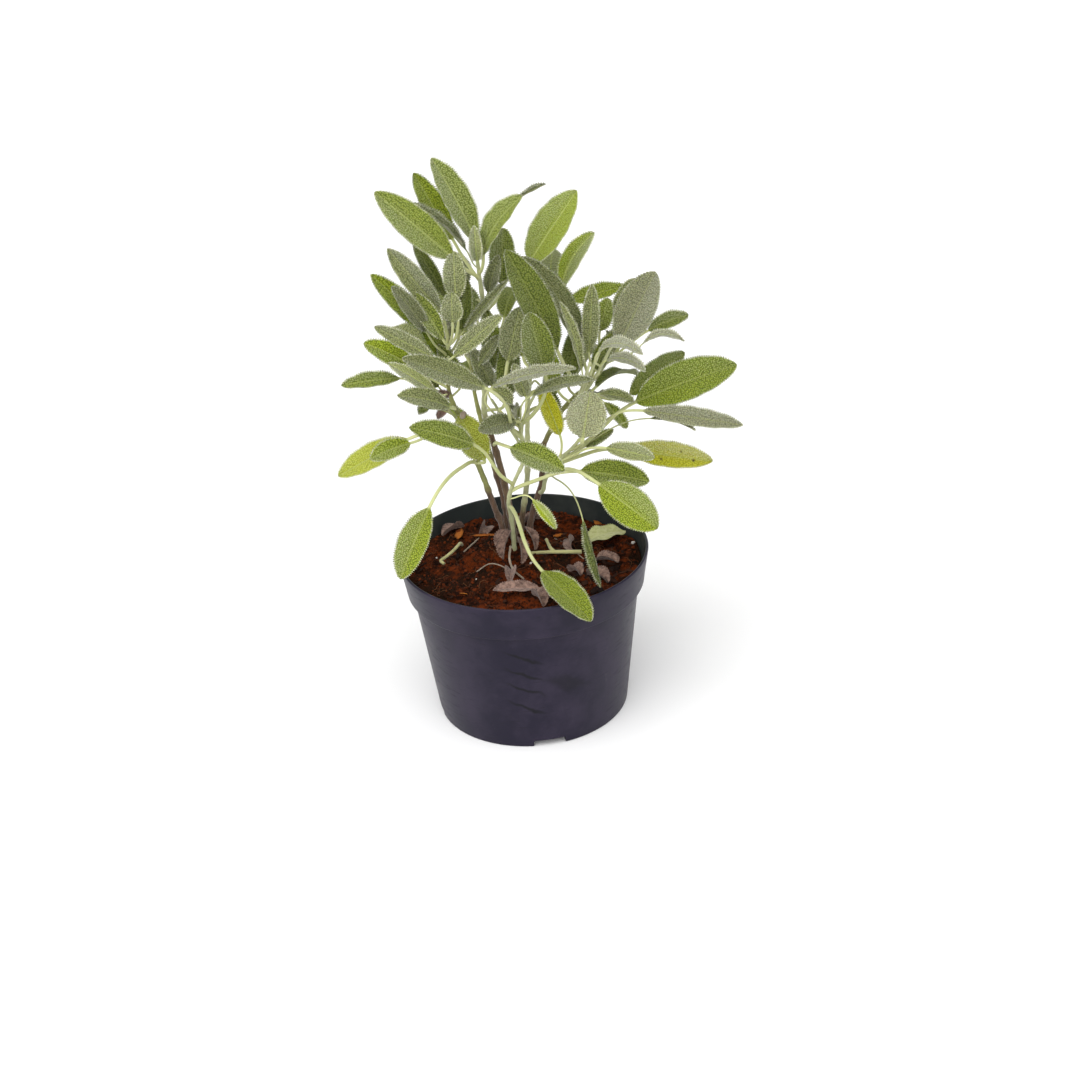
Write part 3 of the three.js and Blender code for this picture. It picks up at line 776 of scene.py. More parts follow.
def planned_leaf(base, tip, width, stem=None, height=0, tilt=50, lean=0, arch=3, fold=14):
    """Stations of a leaf that has no CAD node, worked out as the CAD leaves are, from mm and degrees."""
    base, tip = np.array(base, float) * MM, np.array(tip, float) * MM
    chord = tip - base
    side = unit(np.cross(chord, facing_vector(tilt, lean)))
    normal = unit(np.cross(side, chord))
    bow = 4 * LEAF_STATIONS * (1 - LEAF_STATIONS)
    centres = base + np.outer(LEAF_STATIONS, chord) + np.outer(bow, normal * arch * MM)
    tangents = unit(np.gradient(centres, LEAF_STATIONS, axis=0))
    normals = unit(np.cross(unit(np.cross(tangents, normal)), tangents))
    stalk = np.zeros((0, 3))
    if stem:
        centre, radius = point_on_stem(stem + "_stem", height * MM)
        out = unit(base - centre)
        level = unit(out * np.array([1, 1, 0]))
        start = centre + level * radius * 0.5
        reach = np.linalg.norm(base - start) / 2.6
        away = unit(level + np.array([0, 0, 0.5]) + 0.8 * out)
        a, b = start + away * reach, base - tangents[0] * reach
        s = np.linspace(0, 1, 7)[:-1, None]
        stalk = (1 - s) ** 3 * start + 3 * s * (1 - s) ** 2 * a + 3 * s**2 * (1 - s) * b + s**3 * base
    return {
        "stalk": stalk,
        "centres": centres,
        "normals": normals,
        "half_width": width * MM / 2,
        "fold": math.radians(fold),
    }


def reach_stem(stations):
    """Lengthens a CAD leaf's petiole back into the nearest stem, over the gap that the CAD solids keep."""
    stalk = stations["stalk"]
    near_end = stalk[0]
    below = near_end[2] - REACH_DOWN
    joints = [point_on_stem(node, below)[0] for node in STEM_NODES]
    joint = min(joints, key=lambda point: np.linalg.norm(point - near_end))
    if np.linalg.norm(joint - near_end) < MOST_REACH:
        stations["stalk"] = np.vstack([joint, stalk])
    return stations


# Young, narrow or hidden leaves that have no CAD node, in mm and degrees, by the first part of their names:
# look, stem, height where the petiole leaves the stem, blade base, blade tip, width, tilt, and the rest of
# the shape where it differs from planned_leaf's. No inner leaf has the number 10.
SMALL_LEAVES = {
    "tall_small": [
        ("leaf_grey", "tall", 281, (-21, 28, 292), (-50, 22, 324), 7, 20, dict(fold=35)),
        ("leaf_grey", "tall", 284, (-15, 22, 287), (-15, 18, 310), 8, 50, dict(fold=30)),
        ("leaf_grey", "tall", 224, (-18, 2, 230), (-5, 4, 247), 8, 60),
        ("leaf_green", "tall", 238, (-18, 34, 246), (-23, 40, 266), 11, 60),
    ],
    "right_small": [
        ("leaf_grey", "right", 204, (42, -2, 224), (31, -6, 269), 8, 60, dict(lean=30)),
        ("leaf_grey", "right", 226, (65, 30, 241), (78, 36, 265), 13, 55),
        ("leaf_silver", "right", 211, (57, 0, 228), (79, -12, 224), 9, 25, dict(arch=6)),
        ("leaf_green", "right", 194, (55, 12, 196), (68, 10, 179), 8, 40, dict(arch=2)),
    ],
    "low_small": [
        ("leaf_green", "low_right", 160, (82, 2, 188), (109, 2, 178), 5, 20, dict(fold=30)),
        ("leaf_grey", "low_right", 174, (52, -2, 208), (72, -6, 203), 8, 40),
        ("leaf_green", "low_right", 160, (42, 14, 167), (60, 12, 178), 7, 60),
        ("leaf_yellow", "low_right", 152, (27, 14, 176), (17, 18, 208), 12, 60, dict(fold=20)),
    ],
    "front_small": [
        ("leaf_grey", "front", 194, (12, -30, 222), (48, -40, 233), 9, 35, dict(arch=4)),
        ("leaf_grey", "front", 190, (-11, -16, 221), (0, -20, 213), 9, 40, dict(arch=4)),
        ("leaf_grey", "front", 186, (1, -16, 200), (-21, -26, 200), 13, 50, dict(arch=2)),
        ("leaf_bright", "front", 138, (8, -6, 143), (21, -14, 126), 7, 45, dict(arch=2)),
    ],
    "left_small": [
        ("leaf_grey", "left", 240, (-26, 14, 247), (3, 10, 279), 6, 60, dict(fold=35)),
        ("leaf_grey", "left", 238, (-31, -12, 263), (-30, -14, 282), 13, 62),
        ("leaf_green", "left", 242, (-36, 30, 264), (-52, 36, 296), 9, 55),
        ("leaf_green", "left", 240, (-38, -2, 249), (-53, 2, 278), 12, 55),
        ("leaf_grey", "left", 208, (-45, -4, 217), (-71, -8, 239), 9, 50),
        ("leaf_green", "left", 202, (-44, 14, 213), (-57, 14, 226), 9, 50),
        ("leaf_green", "left", 192, (-50, 0, 205), (-57, 2, 203), 6, 50, dict(arch=1)),
        ("leaf_bright", "left", 160, (-20, 7, 166), (-33, 10, 196), 19, 60),
        ("leaf_bright", "left", 188, (-63, -6, 186), (-87, -14, 181), 13, 50),
    ],
    "tall_tip_curl": [
        ("leaf_grey", None, 0, (12, 12, 326), (28, 9, 334), 3.5, 40, dict(fold=35, arch=1)),
    ],
    "inner_leaf": [
        ("leaf_green", "front", 190, (-3, 4, 208), (1, 4, 247), 15, 60),
        ("leaf_green", "right", 196, (34, 12, 212), (41, 10, 248), 13, 60),
        ("leaf_bright", "right", 192, (26, 14, 210), (20, 14, 236), 13, 60),
        ("leaf_grey", "tall", 205, (-12, 8, 214), (-22, 4, 240), 11, 60),
        ("leaf_green", "right", 205, (50, 14, 216), (62, 14, 240), 11, 60),
        ("leaf_green", "left", 206, (-30, 16, 214), (-42, 14, 240), 11, 60),
        ("leaf_green", "centre", 196, (18, 22, 204), (26, 18, 186), 11, 40),
        ("leaf_grey", "front", 192, (8, -10, 213), (2, -14, 236), 10, 55),
        ("leaf_green", "tall", 214, (-8, 12, 222), (-12, 10, 262), 13, 60),
        ("leaf_bright", "left", 216, (-36, 18, 226), (-52, 16, 258), 12, 55),
        ("leaf_green", "left", 232, (-28, 20, 246), (-22, 20, 278), 12, 60),
        ("leaf_grey", "tall", 260, (-10, 20, 268), (-2, 16, 292), 9, 60),
    ],
}

# Dark spots on an ageing leaf: share of the length, share of the half width, radius in mm.
LEAF_SPOTS = {"low_leaf_5": [(0.42, 0.35, 0.7), (0.78, 0.2, 0.8), (0.63, -0.4, 0.4)]}

# Leaves that are lighter or darker, greyer or greener than their fellows: tone from 0 to 1, and added bloom.
# The tone is partly the leaf's own colour and partly painted light and shade: some leaves are made lighter or
# darker for how brightly they are lit.
LEAF_TONES_AND_LIGHT = {
    "right_leaf_5": (0.3, 0.1), "low_leaf_3": (0.9, -0.5), "low_leaf_2": (0.3, -0.1),
    "front_leaf_1": (0.5, 0.6), "low_leaf_6": (0.8, -0.2), "left_leaf_9": (0.7, -0.1),
    "front_leaf_7": (0.4, -0.2), "left_leaf_8": (1.0, -0.4), "tall_leaf_1": (0.8, 0.25),
    "centre_leaf_1": (1.15, 0.0), "right_leaf_1": (0.2, -0.2), "front_leaf_2": (0.3, -0.1),
    "low_leaf_1": (0.4, 0.0), "low_leaf_4": (1.0, -0.1), "left_leaf_2": (0.6, 0.2),
    "tall_leaf_2": (0.6, -0.3), "centre_leaf_2": (1.2, 0.0), "left_small_8": (0.8, -0.3),
    "front_small_4": (1.5, 0.2), "tall_leaf_4": (0.9, 0.0), "tall_small_2": (1.1, 0.2),
    "right_small_3": (0.7, 0.9), "right_leaf_7": (0.6, 0.8), "right_leaf_8": (0.7, 0.8),
    "left_leaf_5": (0.9, -0.1), "low_leaf_7": (0.8, -0.1), "low_small_4": (1.0, -0.3),
    "left_small_5": (1.2, 0.0),
}

# Leaves that are yellower than their slot's look.
LIME_LEAVES = ("left_leaf_8", "left_small_8")

# Leaves that are nearly edge-on or curled, and so narrower than their CAD solids: the share that is left.
LEAF_WIDTHS = {
    "left_leaf_9": 0.9, "low_leaf_8": 0.68, "front_leaf_1": 0.8, "right_leaf_7": 0.75,
    "right_leaf_8": 0.8, "low_leaf_2": 0.95, "tall_leaf_1": 0.92, "left_leaf_4": 0.85,
}

# Leaves behind the plant, out of the camera's view: stem, height, blade base, blade tip, width, in mm.
REAR_LEAVES = [
    ("back", 190, (-24, 60, 190), (-34, 92, 196), 16),
    ("back", 178, (-6, 64, 178), (0, 98, 182), 18),
    ("back", 168, (-30, 54, 170), (-60, 72, 174), 16),
    ("centre", 205, (8, 66, 208), (4, 98, 216), 17),
    ("centre", 190, (40, 60, 196), (58, 86, 204), 16),
    ("centre", 178, (24, 64, 180), (34, 94, 180), 17),
    ("right", 186, (52, 52, 190), (80, 72, 188), 16),
    ("right", 172, (38, 56, 174), (60, 84, 170), 15),
    ("tall", 215, (-22, 52, 220), (-38, 82, 232), 15),
    ("tall", 232, (-2, 56, 238), (8, 86, 246), 15),
    ("tall", 258, (-24, 50, 262), (-34, 72, 276), 13),
]

# How many small young leaves there are at each growing tip.
BUDS = {"tall": 4, "left": 4, "front": 3, "right": 4, "centre": 3, "back": 4, "low_right": 2}


def names_of(group):
    """The names of a group's small leaves: numbered, but for the one curled leaf at the top."""
    if group == "tall_tip_curl":
        return [group]
    return [f"{group}_{number}" for number in range(1, 20) if f"{group}_{number}" != "inner_leaf_10"]


def make_buds(material):
    """Pairs of small young leaves at the growing tips."""
    rng = random.Random(7)
    for stem, count in BUDS.items():
        centres, _ = stem_lines[stem + "_stem"]
        top = centres[-1] / MM
        for index in range(count):
            turn = index * 2.4 + rng.uniform(0, 0.6)
            out = np.array([math.cos(turn), math.sin(turn), 0])
            base = top + out * 1.2 + np.array([0, 0, 0.5])
            tip = top + out * rng.uniform(3, 6) + np.array([0, 0, rng.uniform(7, 12)])
            face = math.degrees(math.atan2(out[1], 1.0)) + 50
            width = rng.uniform(3.5, 5)
            stations = planned_leaf(base, tip, width, tilt=face, lean=-40 * out[0], arch=1.2, fold=28)
            build_leaf(f"{stem}_bud_{index + 1}", stations, material, 300 + index)


def make_leaves(materials):
    for index, node in enumerate(sorted(frame["nodes"])):
        if "_leaf_" not in node:
            continue
        slot = SLOT_OF[node]
        stations = reach_stem(cad_leaf(node))
        stations["half_width"] *= LEAF_WIDTHS.get(node, 1.0)
        tone, grey_bloom = LEAF_TONES_AND_LIGHT.get(node, (None, 0))
        material = materials["leaf_lime" if node in LIME_LEAVES else slot]
        leaf = build_leaf(node + "_fine", stations, material, index + 1,
                          spots=LEAF_SPOTS.get(node, ()), tone=tone, grey_bloom=grey_bloom)
        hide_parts(node)
    named_rows = []
    for group, rows in SMALL_LEAVES.items():
        named_rows += zip(names_of(group), rows)
    for index, (name, row) in enumerate(named_rows):
        look, stem, height, base, tip, width, tilt, *shape = row
        stations = planned_leaf(base, tip, width, stem, height, tilt, **(shape[0] if shape else {}))
        tone, grey_bloom = LEAF_TONES_AND_LIGHT.get(name, (None, 0))
        material = materials["leaf_lime" if name in LIME_LEAVES else look]
        build_leaf(name, stations, material, 100 + index, tone=tone, grey_bloom=grey_bloom)
    rear_looks = ("leaf_green", "leaf_grey", "leaf_bright")
    for index, (stem, height, base, tip, width) in enumerate(REAR_LEAVES):
        look = rear_looks[index % len(rear_looks)]
        stations = planned_leaf(base, tip, width, stem, height, tilt=-15, arch=5)
        build_leaf(f"rear_leaf_{index + 1}", stations, materials[look], 200 + index)
    make_buds(materials["leaf_silver"])


# ---- Stem pieces ------------------------------------------------------------------------------

# Where each stem turns from brown wood to green, in mm above the ground.
WOOD_TOP = {"tall": 186, "left": 142, "front": 96, "right": 166, "centre": 122, "back": 150, "low_right": 112}


def tube_mesh(line, radii, around, rough=0.0, seed=0):
    """Points and faces of a closed tube along a line, with radii at its points."""
    tangent = unit(np.gradient(line, axis=0))
    side = unit(np.cross(tangent[0], [0.3, 1, 0.2]))
    rings = []
    angles = np.linspace(0, 2 * math.pi, around, endpoint=False)
    for k, (centre, radius) in enumerate(zip(line, radii)):
        across = unit(np.cross(tangent[k], side))
        side = unit(np.cross(across, tangent[k]))
        ring = []
        for angle in angles:
            direction = math.cos(angle) * side + math.sin(angle) * across
            wobble = 1 + rough * noise.noise(Vector(centre * 400 + direction * 1.5 + seed))
            ring.append(centre + direction * radius * wobble)
        rings.append(ring)
    return np.array(rings).reshape(-1, 3), ring_faces(len(line), around)


def make_stems(material_of):
    for index, node in enumerate(STEM_NODES):
        centres, radii = stem_lines[node]
        if node == "low_right_stem":
            joint, _ = point_on_stem("right_stem", centres[0][2] - 2 * MM)
            centres = np.vstack([joint, centres])
            radii = np.append(radii[0], radii)
        shares = path_shares(centres)
        at = np.arange(0, shares[-1], STEM_ROW)
        at = np.append(at, shares[-1])
        line = smooth_path(centres, shares, at)
        radius = np.interp(at, shares, radii) * STEM_SLIMMING
        for place in np.arange(FIRST_SWELLING, shares[-1], SWELLING_PITCH):
            radius = radius * (1 + 0.22 * np.exp(-(((at - place) / SWELLING_LENGTH) ** 2)))
        points, faces = tube_mesh(line, radius, STEM_AROUND, 0.16, index * 9.1)
        wood_top = WOOD_TOP[node.replace("_stem", "")] * MM
        age = np.clip(0.5 - (points[:, 2] - wood_top) / 0.05, 0, 1)
        tone = np.repeat(np.linspace(0.4, 0.0, len(line)), STEM_AROUND)
        slot = SLOT_OF[node]
        piece = add_piece(node + "_fine", points, faces, material_of[slot], {"age": age, "tone": tone})
        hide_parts(node)


# Stalks that fan out from the middle of the crown with no blade of their own in sight: points in mm, radius.
FAN_STALKS = [
    ([(36, 20, 190), (42, 8, 206), (54, 0, 236)], 1.0),
    ([(38, 22, 192), (49, 10, 212), (61, 4, 236)], 0.9),
    ([(34, 20, 188), (40, 4, 206), (47, -6, 230)], 0.9),
    ([(3, 2, 176), (-4, -2, 192), (-12, -10, 212)], 0.9),
    ([(3, 2, 178), (6, -2, 196), (14, -8, 214)], 0.9),
    ([(-34, 14, 190), (-44, 12, 206), (-50, 10, 222)], 0.8),
]


def thin_stem(name, path, radius, material, age=0.0, end_radius=None):
    """A thin stalk, root or fibre through points given in mm."""
    knots = np.array(path, float) * MM
    shares = path_shares(knots)
    at = np.linspace(0, shares[-1], max(8, int(shares[-1] / (1.0 * MM))))
    line = smooth_path(knots, shares, at)
    last = radius if end_radius is None else end_radius
    radii = np.linspace(radius, last, len(at)) * MM
    points, faces = tube_mesh(line, radii, 10, 0.2, sum(path[0]))
    attributes = {"age": np.full(len(points), age), "tone": np.full(len(points), 0.2)}
    return add_piece(name, points, faces, material, attributes)


# ---- Pot --------------------------------------------------------------------------------------

POT_HEIGHT = 107
RIM_RADIUS = 77.5
BAND_FOOT_RADIUS = 74.2
BAND_FOOT = 86
WALL_TOP_RADIUS = 71
FOOT_RADIUS = 60.5
WALL = 1.6
FLOOR_UNDERSIDE = 4.5
FOOT_RING_WIDTH = 6
PAD_RADIUS = 12
DRAIN_COUNT = 4
DRAIN_WIDTH = 20
HOLE_RADIUS = 5
HOLES_AT = 40
FIRST_DRAIN_ANGLE = math.radians(-82)
POT_SEGMENTS = 192


def wall_radius(height):
    return FOOT_RADIUS + (WALL_TOP_RADIUS - FOOT_RADIUS) * height / BAND_FOOT


def turned(profile, segments):
    """Points and faces of a solid of revolution; the profile starts and ends on the axis. Millimetres in."""
    angles = np.linspace(0, 2 * math.pi, segments, endpoint=False)
    rows = []
    for radius, height in profile[1:-1]:
        level = np.full(segments, height)
        rows.append(np.stack([radius * np.cos(angles), radius * np.sin(angles), level], axis=1))
    points = np.vstack([[(0, 0, profile[0][1])], *rows, [(0, 0, profile[-1][1])]]) * MM
    faces = []
    for k in range(segments):
        n = (k + 1) % segments
        faces.append((0, 1 + n, 1 + k))
        for r in range(len(rows) - 1):
            a, b = 1 + r * segments, 1 + (r + 1) * segments
            faces.append((a + k, a + n, b + n, b + k))
        top = 1 + (len(rows) - 1) * segments
        faces.append((top + k, top + n, len(points) - 1))
    return points, faces


def arc(centre_r, centre_z, radius, start, end, count):
    """Points of a profile round a rounded edge, angles in degrees."""
    turns = np.radians(np.linspace(start, end, count))
    return [(centre_r + radius * math.cos(a), centre_z + radius * math.sin(a)) for a in turns]


def wall_line(r0, z0, r1, z1, count):
    """Points of a profile between two places on a straight wall, without its ends."""
    shares = np.linspace(0, 1, count + 1)[1:-1]
    return [(r0 + (r1 - r0) * s, z0 + (z1 - z0) * s) for s in shares]


def pot_profile():
    """The pot's section, from the axis under the floor, round the rim and back to the axis inside."""
    inside_foot = FOOT_RADIUS - FOOT_RING_WIDTH
    floor_top = FLOOR_UNDERSIDE + WALL
    inner_top = wall_radius(floor_top) - WALL
    wall_top = (wall_radius(BAND_FOOT - 2), BAND_FOOT - 2)
    inner_wall_top = (wall_radius(BAND_FOOT) - WALL, BAND_FOOT - 2)
    lip = WALL / 2 + 0.1
    return [
        (0, 0),
        (4, 0),
        (PAD_RADIUS - 0.5, 0),
        (PAD_RADIUS + 0.3, 0.6),
        (PAD_RADIUS + 1.5, FLOOR_UNDERSIDE),
        (30, FLOOR_UNDERSIDE),
        (inside_foot, FLOOR_UNDERSIDE),
        (inside_foot + 0.8, 0.4),
        (inside_foot + 1.2, 0),
        *arc(FOOT_RADIUS - 1, 1, 1, -90, 0, 5),
        *wall_line(FOOT_RADIUS, 1, *wall_top, 10),
        wall_top,
        (wall_top[0] + 0.5, BAND_FOOT - 1.7),
        (BAND_FOOT_RADIUS - 1.2, BAND_FOOT - 1.3),
        *arc(BAND_FOOT_RADIUS - 0.6, BAND_FOOT - 0.6, 0.6, -70, 0, 4),
        *wall_line(BAND_FOOT_RADIUS, BAND_FOOT, RIM_RADIUS - 0.25, POT_HEIGHT - 2.4, 4),
        *arc(RIM_RADIUS - lip, POT_HEIGHT - lip, lip, 0, 180, 9),
        (BAND_FOOT_RADIUS - WALL, BAND_FOOT + WALL),
        inner_wall_top,
        *wall_line(*inner_wall_top, inner_top, floor_top + 1, 4),
        (inner_top, floor_top + 1),
        (inner_top - 1, floor_top),
        (20, floor_top),
        (0, floor_top),
    ]


def drain_cutter():
    """A rounded notch through the foot ring and a round hole through the floor, for each drain."""
    form = bmesh.new()
    size = Matrix.Diagonal((FOOT_RING_WIDTH * 3 * MM, DRAIN_WIDTH * MM, 2 * FLOOR_UNDERSIDE * MM, 1))
    hole = {"radius1": HOLE_RADIUS * MM, "radius2": HOLE_RADIUS * MM, "depth": 20 * MM, "segments": 40}
    for k in range(DRAIN_COUNT):
        spin = Matrix.Rotation(FIRST_DRAIN_ANGLE + k * 2 * math.pi / DRAIN_COUNT, 4, "Z")
        outward = spin @ Vector((1, 0, 0))
        notch_place = spin @ Matrix.Translation((FOOT_RADIUS * MM, 0, 0)) @ size
        box = bmesh.ops.create_cube(form, size=1, matrix=notch_place)
        edges = {e for v in box["verts"] for e in v.link_edges
                 if abs((e.verts[0].co - e.verts[1].co).normalized().dot(outward)) > 0.9}
        bmesh.ops.bevel(form, geom=list(edges), offset=1.2 * MM, segments=4, affect="EDGES", profile=0.5)
        hole_place = spin @ Matrix.Translation((HOLES_AT * MM, 0, 0))
        bmesh.ops.create_cone(form, cap_ends=True, matrix=hole_place, **hole)
    mesh = bpy.data.meshes.new("cutter")
    form.to_mesh(mesh)
    form.free()
    cutter = bpy.data.objects.new("cutter", mesh)
    bpy.context.scene.collection.objects.link(cutter)
    return cutter


def make_pot(material):
    points, faces = turned(pot_profile(), POT_SEGMENTS)
    pot = add_piece("pot_fine", points, faces, material)
    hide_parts("pot")
    cutter = drain_cutter()
    cut = pot.modifiers.new("cut", "BOOLEAN")
    cut.operation = "DIFFERENCE"
    cut.solver = "EXACT"
    cut.object = cutter
    apply_modifiers(pot)
    bpy.data.objects.remove(cutter)
    pot.data.set_sharp_from_angle(angle=math.radians(35))


def apply_modifiers(piece):
    graph = bpy.context.evaluated_depsgraph_get()
    finished = bpy.data.meshes.new_from_object(piece.evaluated_get(graph))
    piece.modifiers.clear()
    piece.data = finished


# ---- Soil and litter --------------------------------------------------------------------------

SOIL_EDGE_HEIGHT = 95
SOIL_MOUND = 6
MOUND_X, MOUND_Y, MOUND_SPREAD = -4, 20, 34
SOIL_RADIUS = 73.1
SOIL_AROUND = 420
SOIL_RINGS = 108


def soil_height(x, y):
    """Height of the soil at a place, in mm: the CAD's mound and swells, with crumbs and clods on it."""
    from_mound = np.hypot(x - MOUND_X, y - MOUND_Y) / MOUND_SPREAD
    swell = np.sin(x / 7 + 1) * np.cos(y / 6) + 0.6 * np.sin((x + y) / 4.3)
    return SOIL_EDGE_HEIGHT + SOIL_MOUND * np.exp(-(from_mound**2)) + 1.2 * swell


def clods(x, y):
    """Clods, crumbs and grains of the soil at a place, in mm above soil_height."""
    rough = noise.fractal(Vector((x / 9, y / 9, 3.1)), 0.9, 2.1, 6)
    crumb = noise.cell(Vector((x / 1.7 + 40, y / 1.7, 0.5)))
    clod = noise.noise(Vector((x / 15, y / 15, 1.7)))
    return 2.4 * clod + 1.9 * rough + 0.4 * crumb + 0.8 * noise.noise(Vector((x / 2.2, y / 2.2, 8)))


def make_soil(material):
    around = SOIL_AROUND
    directions = [(math.cos(a), math.sin(a)) for a in np.linspace(0, 2 * math.pi, around, endpoint=False)]
    radii = np.linspace(0.7, SOIL_RADIUS, SOIL_RINGS)
    floor_z = FLOOR_UNDERSIDE + WALL + 0.3
    points = [(0, 0, floor_z)]
    low_ring = (wall_radius(floor_z) - 2.1, floor_z)
    for radius, height in (low_ring, (wall_radius(82) - 2.1, 82), (SOIL_RADIUS - 0.6, 89.5)):
        points += [(radius * c, radius * s, height) for c, s in directions]
    for radius in radii[::-1]:
        roughness = min(1, (SOIL_RADIUS + 2 - radius) / 4)
        for c, s in directions:
            x, y = radius * c, radius * s
            points.append((x, y, float(soil_height(x, y)) + clods(x, y) * roughness))
    points.append((0, 0, float(soil_height(0, 0))))
    rows = 3 + len(radii)
    faces = []
    for row in range(rows - 1):
        for k in range(around):
            a, b = row * around + k + 1, row * around + (k + 1) % around + 1
            faces.append((a, b, b + around, a + around))
    last = 1 + (rows - 1) * around
    for k in range(around):
        n = (k + 1) % around
        faces.append((0, 1 + n, 1 + k))
        faces.append((last + k, last + n, len(points) - 1))
    piece = add_piece("soil_fine", np.array(points) * MM, faces, material)
    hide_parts("soil")


def surface(x, y):
    """Height of the finished soil at a place, in mm."""
    return float(soil_height(x, y)) + clods(x, y)


def many(name, shapes, material):
    """One piece from many small closed shapes, each a list of points, faces and one tone."""
    points, faces, tones = [], [], []
    for shape_points, shape_faces, tone in shapes:
        start = len(points)
        points.extend(shape_points)
        faces.extend(tuple(start + i for i in face) for face in shape_faces)
        tones.extend([tone] * len(shape_points))
    attributes = {"tone": tones, "age": np.ones(len(points))}
    return add_piece(name, np.array(points) * MM, faces, material, attributes)


def lump(rng, size, stretch=(1, 1, 1), detail=1):
    """An irregular lump of a few millimetres, from a ball pushed about at each of its points."""
    form = bmesh.new()
    bmesh.ops.create_icosphere(form, subdivisions=detail, radius=1)
    turn = Matrix.Rotation(rng.uniform(0, 6.28), 3, "Z") @ Matrix.Rotation(rng.uniform(-0.5, 0.5), 3, "X")
    shift = Vector([rng.uniform(0, 50) for _ in range(3)])
    scale = Matrix.Diagonal(stretch)
    points = []
    for v in form.verts:
        swell = 1 + 0.75 * noise.noise(v.co * 1.3 + shift)
        points.append(turn @ (scale @ v.co) * size * swell)
    faces = [tuple(v.index for v in f.verts) for f in form.faces]
    form.free()
    return points, faces


def random_spot(rng, most=70):
    radius = most * math.sqrt(rng.random())
    turn = rng.uniform(0, 2 * math.pi)
    return radius * math.cos(turn), radius * math.sin(turn)


def make_crumbs(material):
    rng = random.Random(11)
    shapes = []
    for _ in range(2600):
        x, y = random_spot(rng, 71)
        size = 0.45 + 1.25 * rng.random() ** 3
        points, faces = lump(rng, size, (1, rng.uniform(0.6, 1), rng.uniform(0.5, 0.9)))
        centre = Vector((x, y, surface(x, y) + 0.25 * size))
        shapes.append(([p + centre for p in points], faces, rng.random()))
    many("soil_crumbs", shapes, material)


def chip_shape(rng, x, y, length, width, turn, lift=0.8):
    """A flat splinter of bark lying on the soil."""
    points, faces = lump(rng, 1, (length / 2, width / 2, 0.42), 2)
    spin = Matrix.Rotation(turn, 3, "Z")
    centre = Vector((x, y, surface(x, y) + lift))
    return [spin @ p + centre for p in points], faces


# Orange chips that can be told apart: place, length, width in mm, and turn.
ORANGE_CHIPS = (
    (-41, 38, 13, 5, -0.3), (-24, 31, 17, 5, 0.6), (49, 50, 9, 4.5, 0.3),
    (-8, 42, 8, 3.5, 0.2), (22, 30, 6, 3, 1.2), (-38, -34, 5, 3, 0.5),
)
# Pale grains: place and size in mm.
PALE_GRAINS = (
    (69, 15, 1.3), (4, -6, 1.1), (-55, 12, 0.7), (12, -44, 0.6), (30, -30, 0.7), (-30, -20, 0.5),
)


def make_chips(dark, orange, white):
    rng = random.Random(5)
    shapes = []
    for _ in range(70):
        x, y = random_spot(rng, 68)
        points, faces = chip_shape(rng, x, y, rng.uniform(2.5, 8), rng.uniform(1, 2.6), rng.uniform(0, 3.1))
        shapes.append((points, faces, rng.random()))
    for _ in range(26):
        x, y = rng.uniform(28, 60), rng.uniform(-44, -4)
        length, width, turn = rng.uniform(6, 15), rng.uniform(2, 4.5), rng.uniform(0, 3.1)
        points, faces = chip_shape(rng, x, y, length, width, turn, 1.4)
        shapes.append((points, faces, rng.random() * 0.5))
    many("bark_chips", shapes, dark)
    shapes = []
    for x, y, length, width, turn in ORANGE_CHIPS:
        points, faces = chip_shape(rng, x, y, length, width, turn, 1.0)
        shapes.append((points, faces, rng.uniform(0.3, 1)))
    many("orange_chips", shapes, orange)
    shapes = []
    for x, y, size in PALE_GRAINS:
        points, faces = lump(rng, size)
        centre = Vector((x, y, surface(x, y) + 0.7))
        shapes.append(([p + centre for p in points], faces, 0.8))
    many("pale_grit", shapes, white)


def make_fibres(material, count=110):
    """Coir fibres and fine roots, curled on the soil."""
    rng = random.Random(23)
    shapes = []
    for _ in range(count):
        x, y = random_spot(rng, 67)
        heading = rng.uniform(0, 6.28)
        bend = rng.uniform(-0.35, 0.35)
        path = []
        for step in range(9):
            path.append((x, y, surface(x, y) + 0.45 + rng.uniform(0, 0.7)))
            heading += bend + rng.uniform(-0.25, 0.25)
            stride = rng.uniform(0.7, 2.0)
            x += stride * math.cos(heading)
            y += stride * math.sin(heading)
            if math.hypot(x, y) > 71:
                break
        if len(path) < 4:
            continue
        line = np.array(path)
        points, faces = tube_mesh(line, np.full(len(line), rng.uniform(0.1, 0.24)), 5)
        shapes.append((points.tolist(), faces, rng.random()))
    many("coir_fibres", shapes, material)


def lying(x, y, lift=1.0):
    """A point a little above the soil, in mm."""
    return (x, y, surface(x, y) + lift)


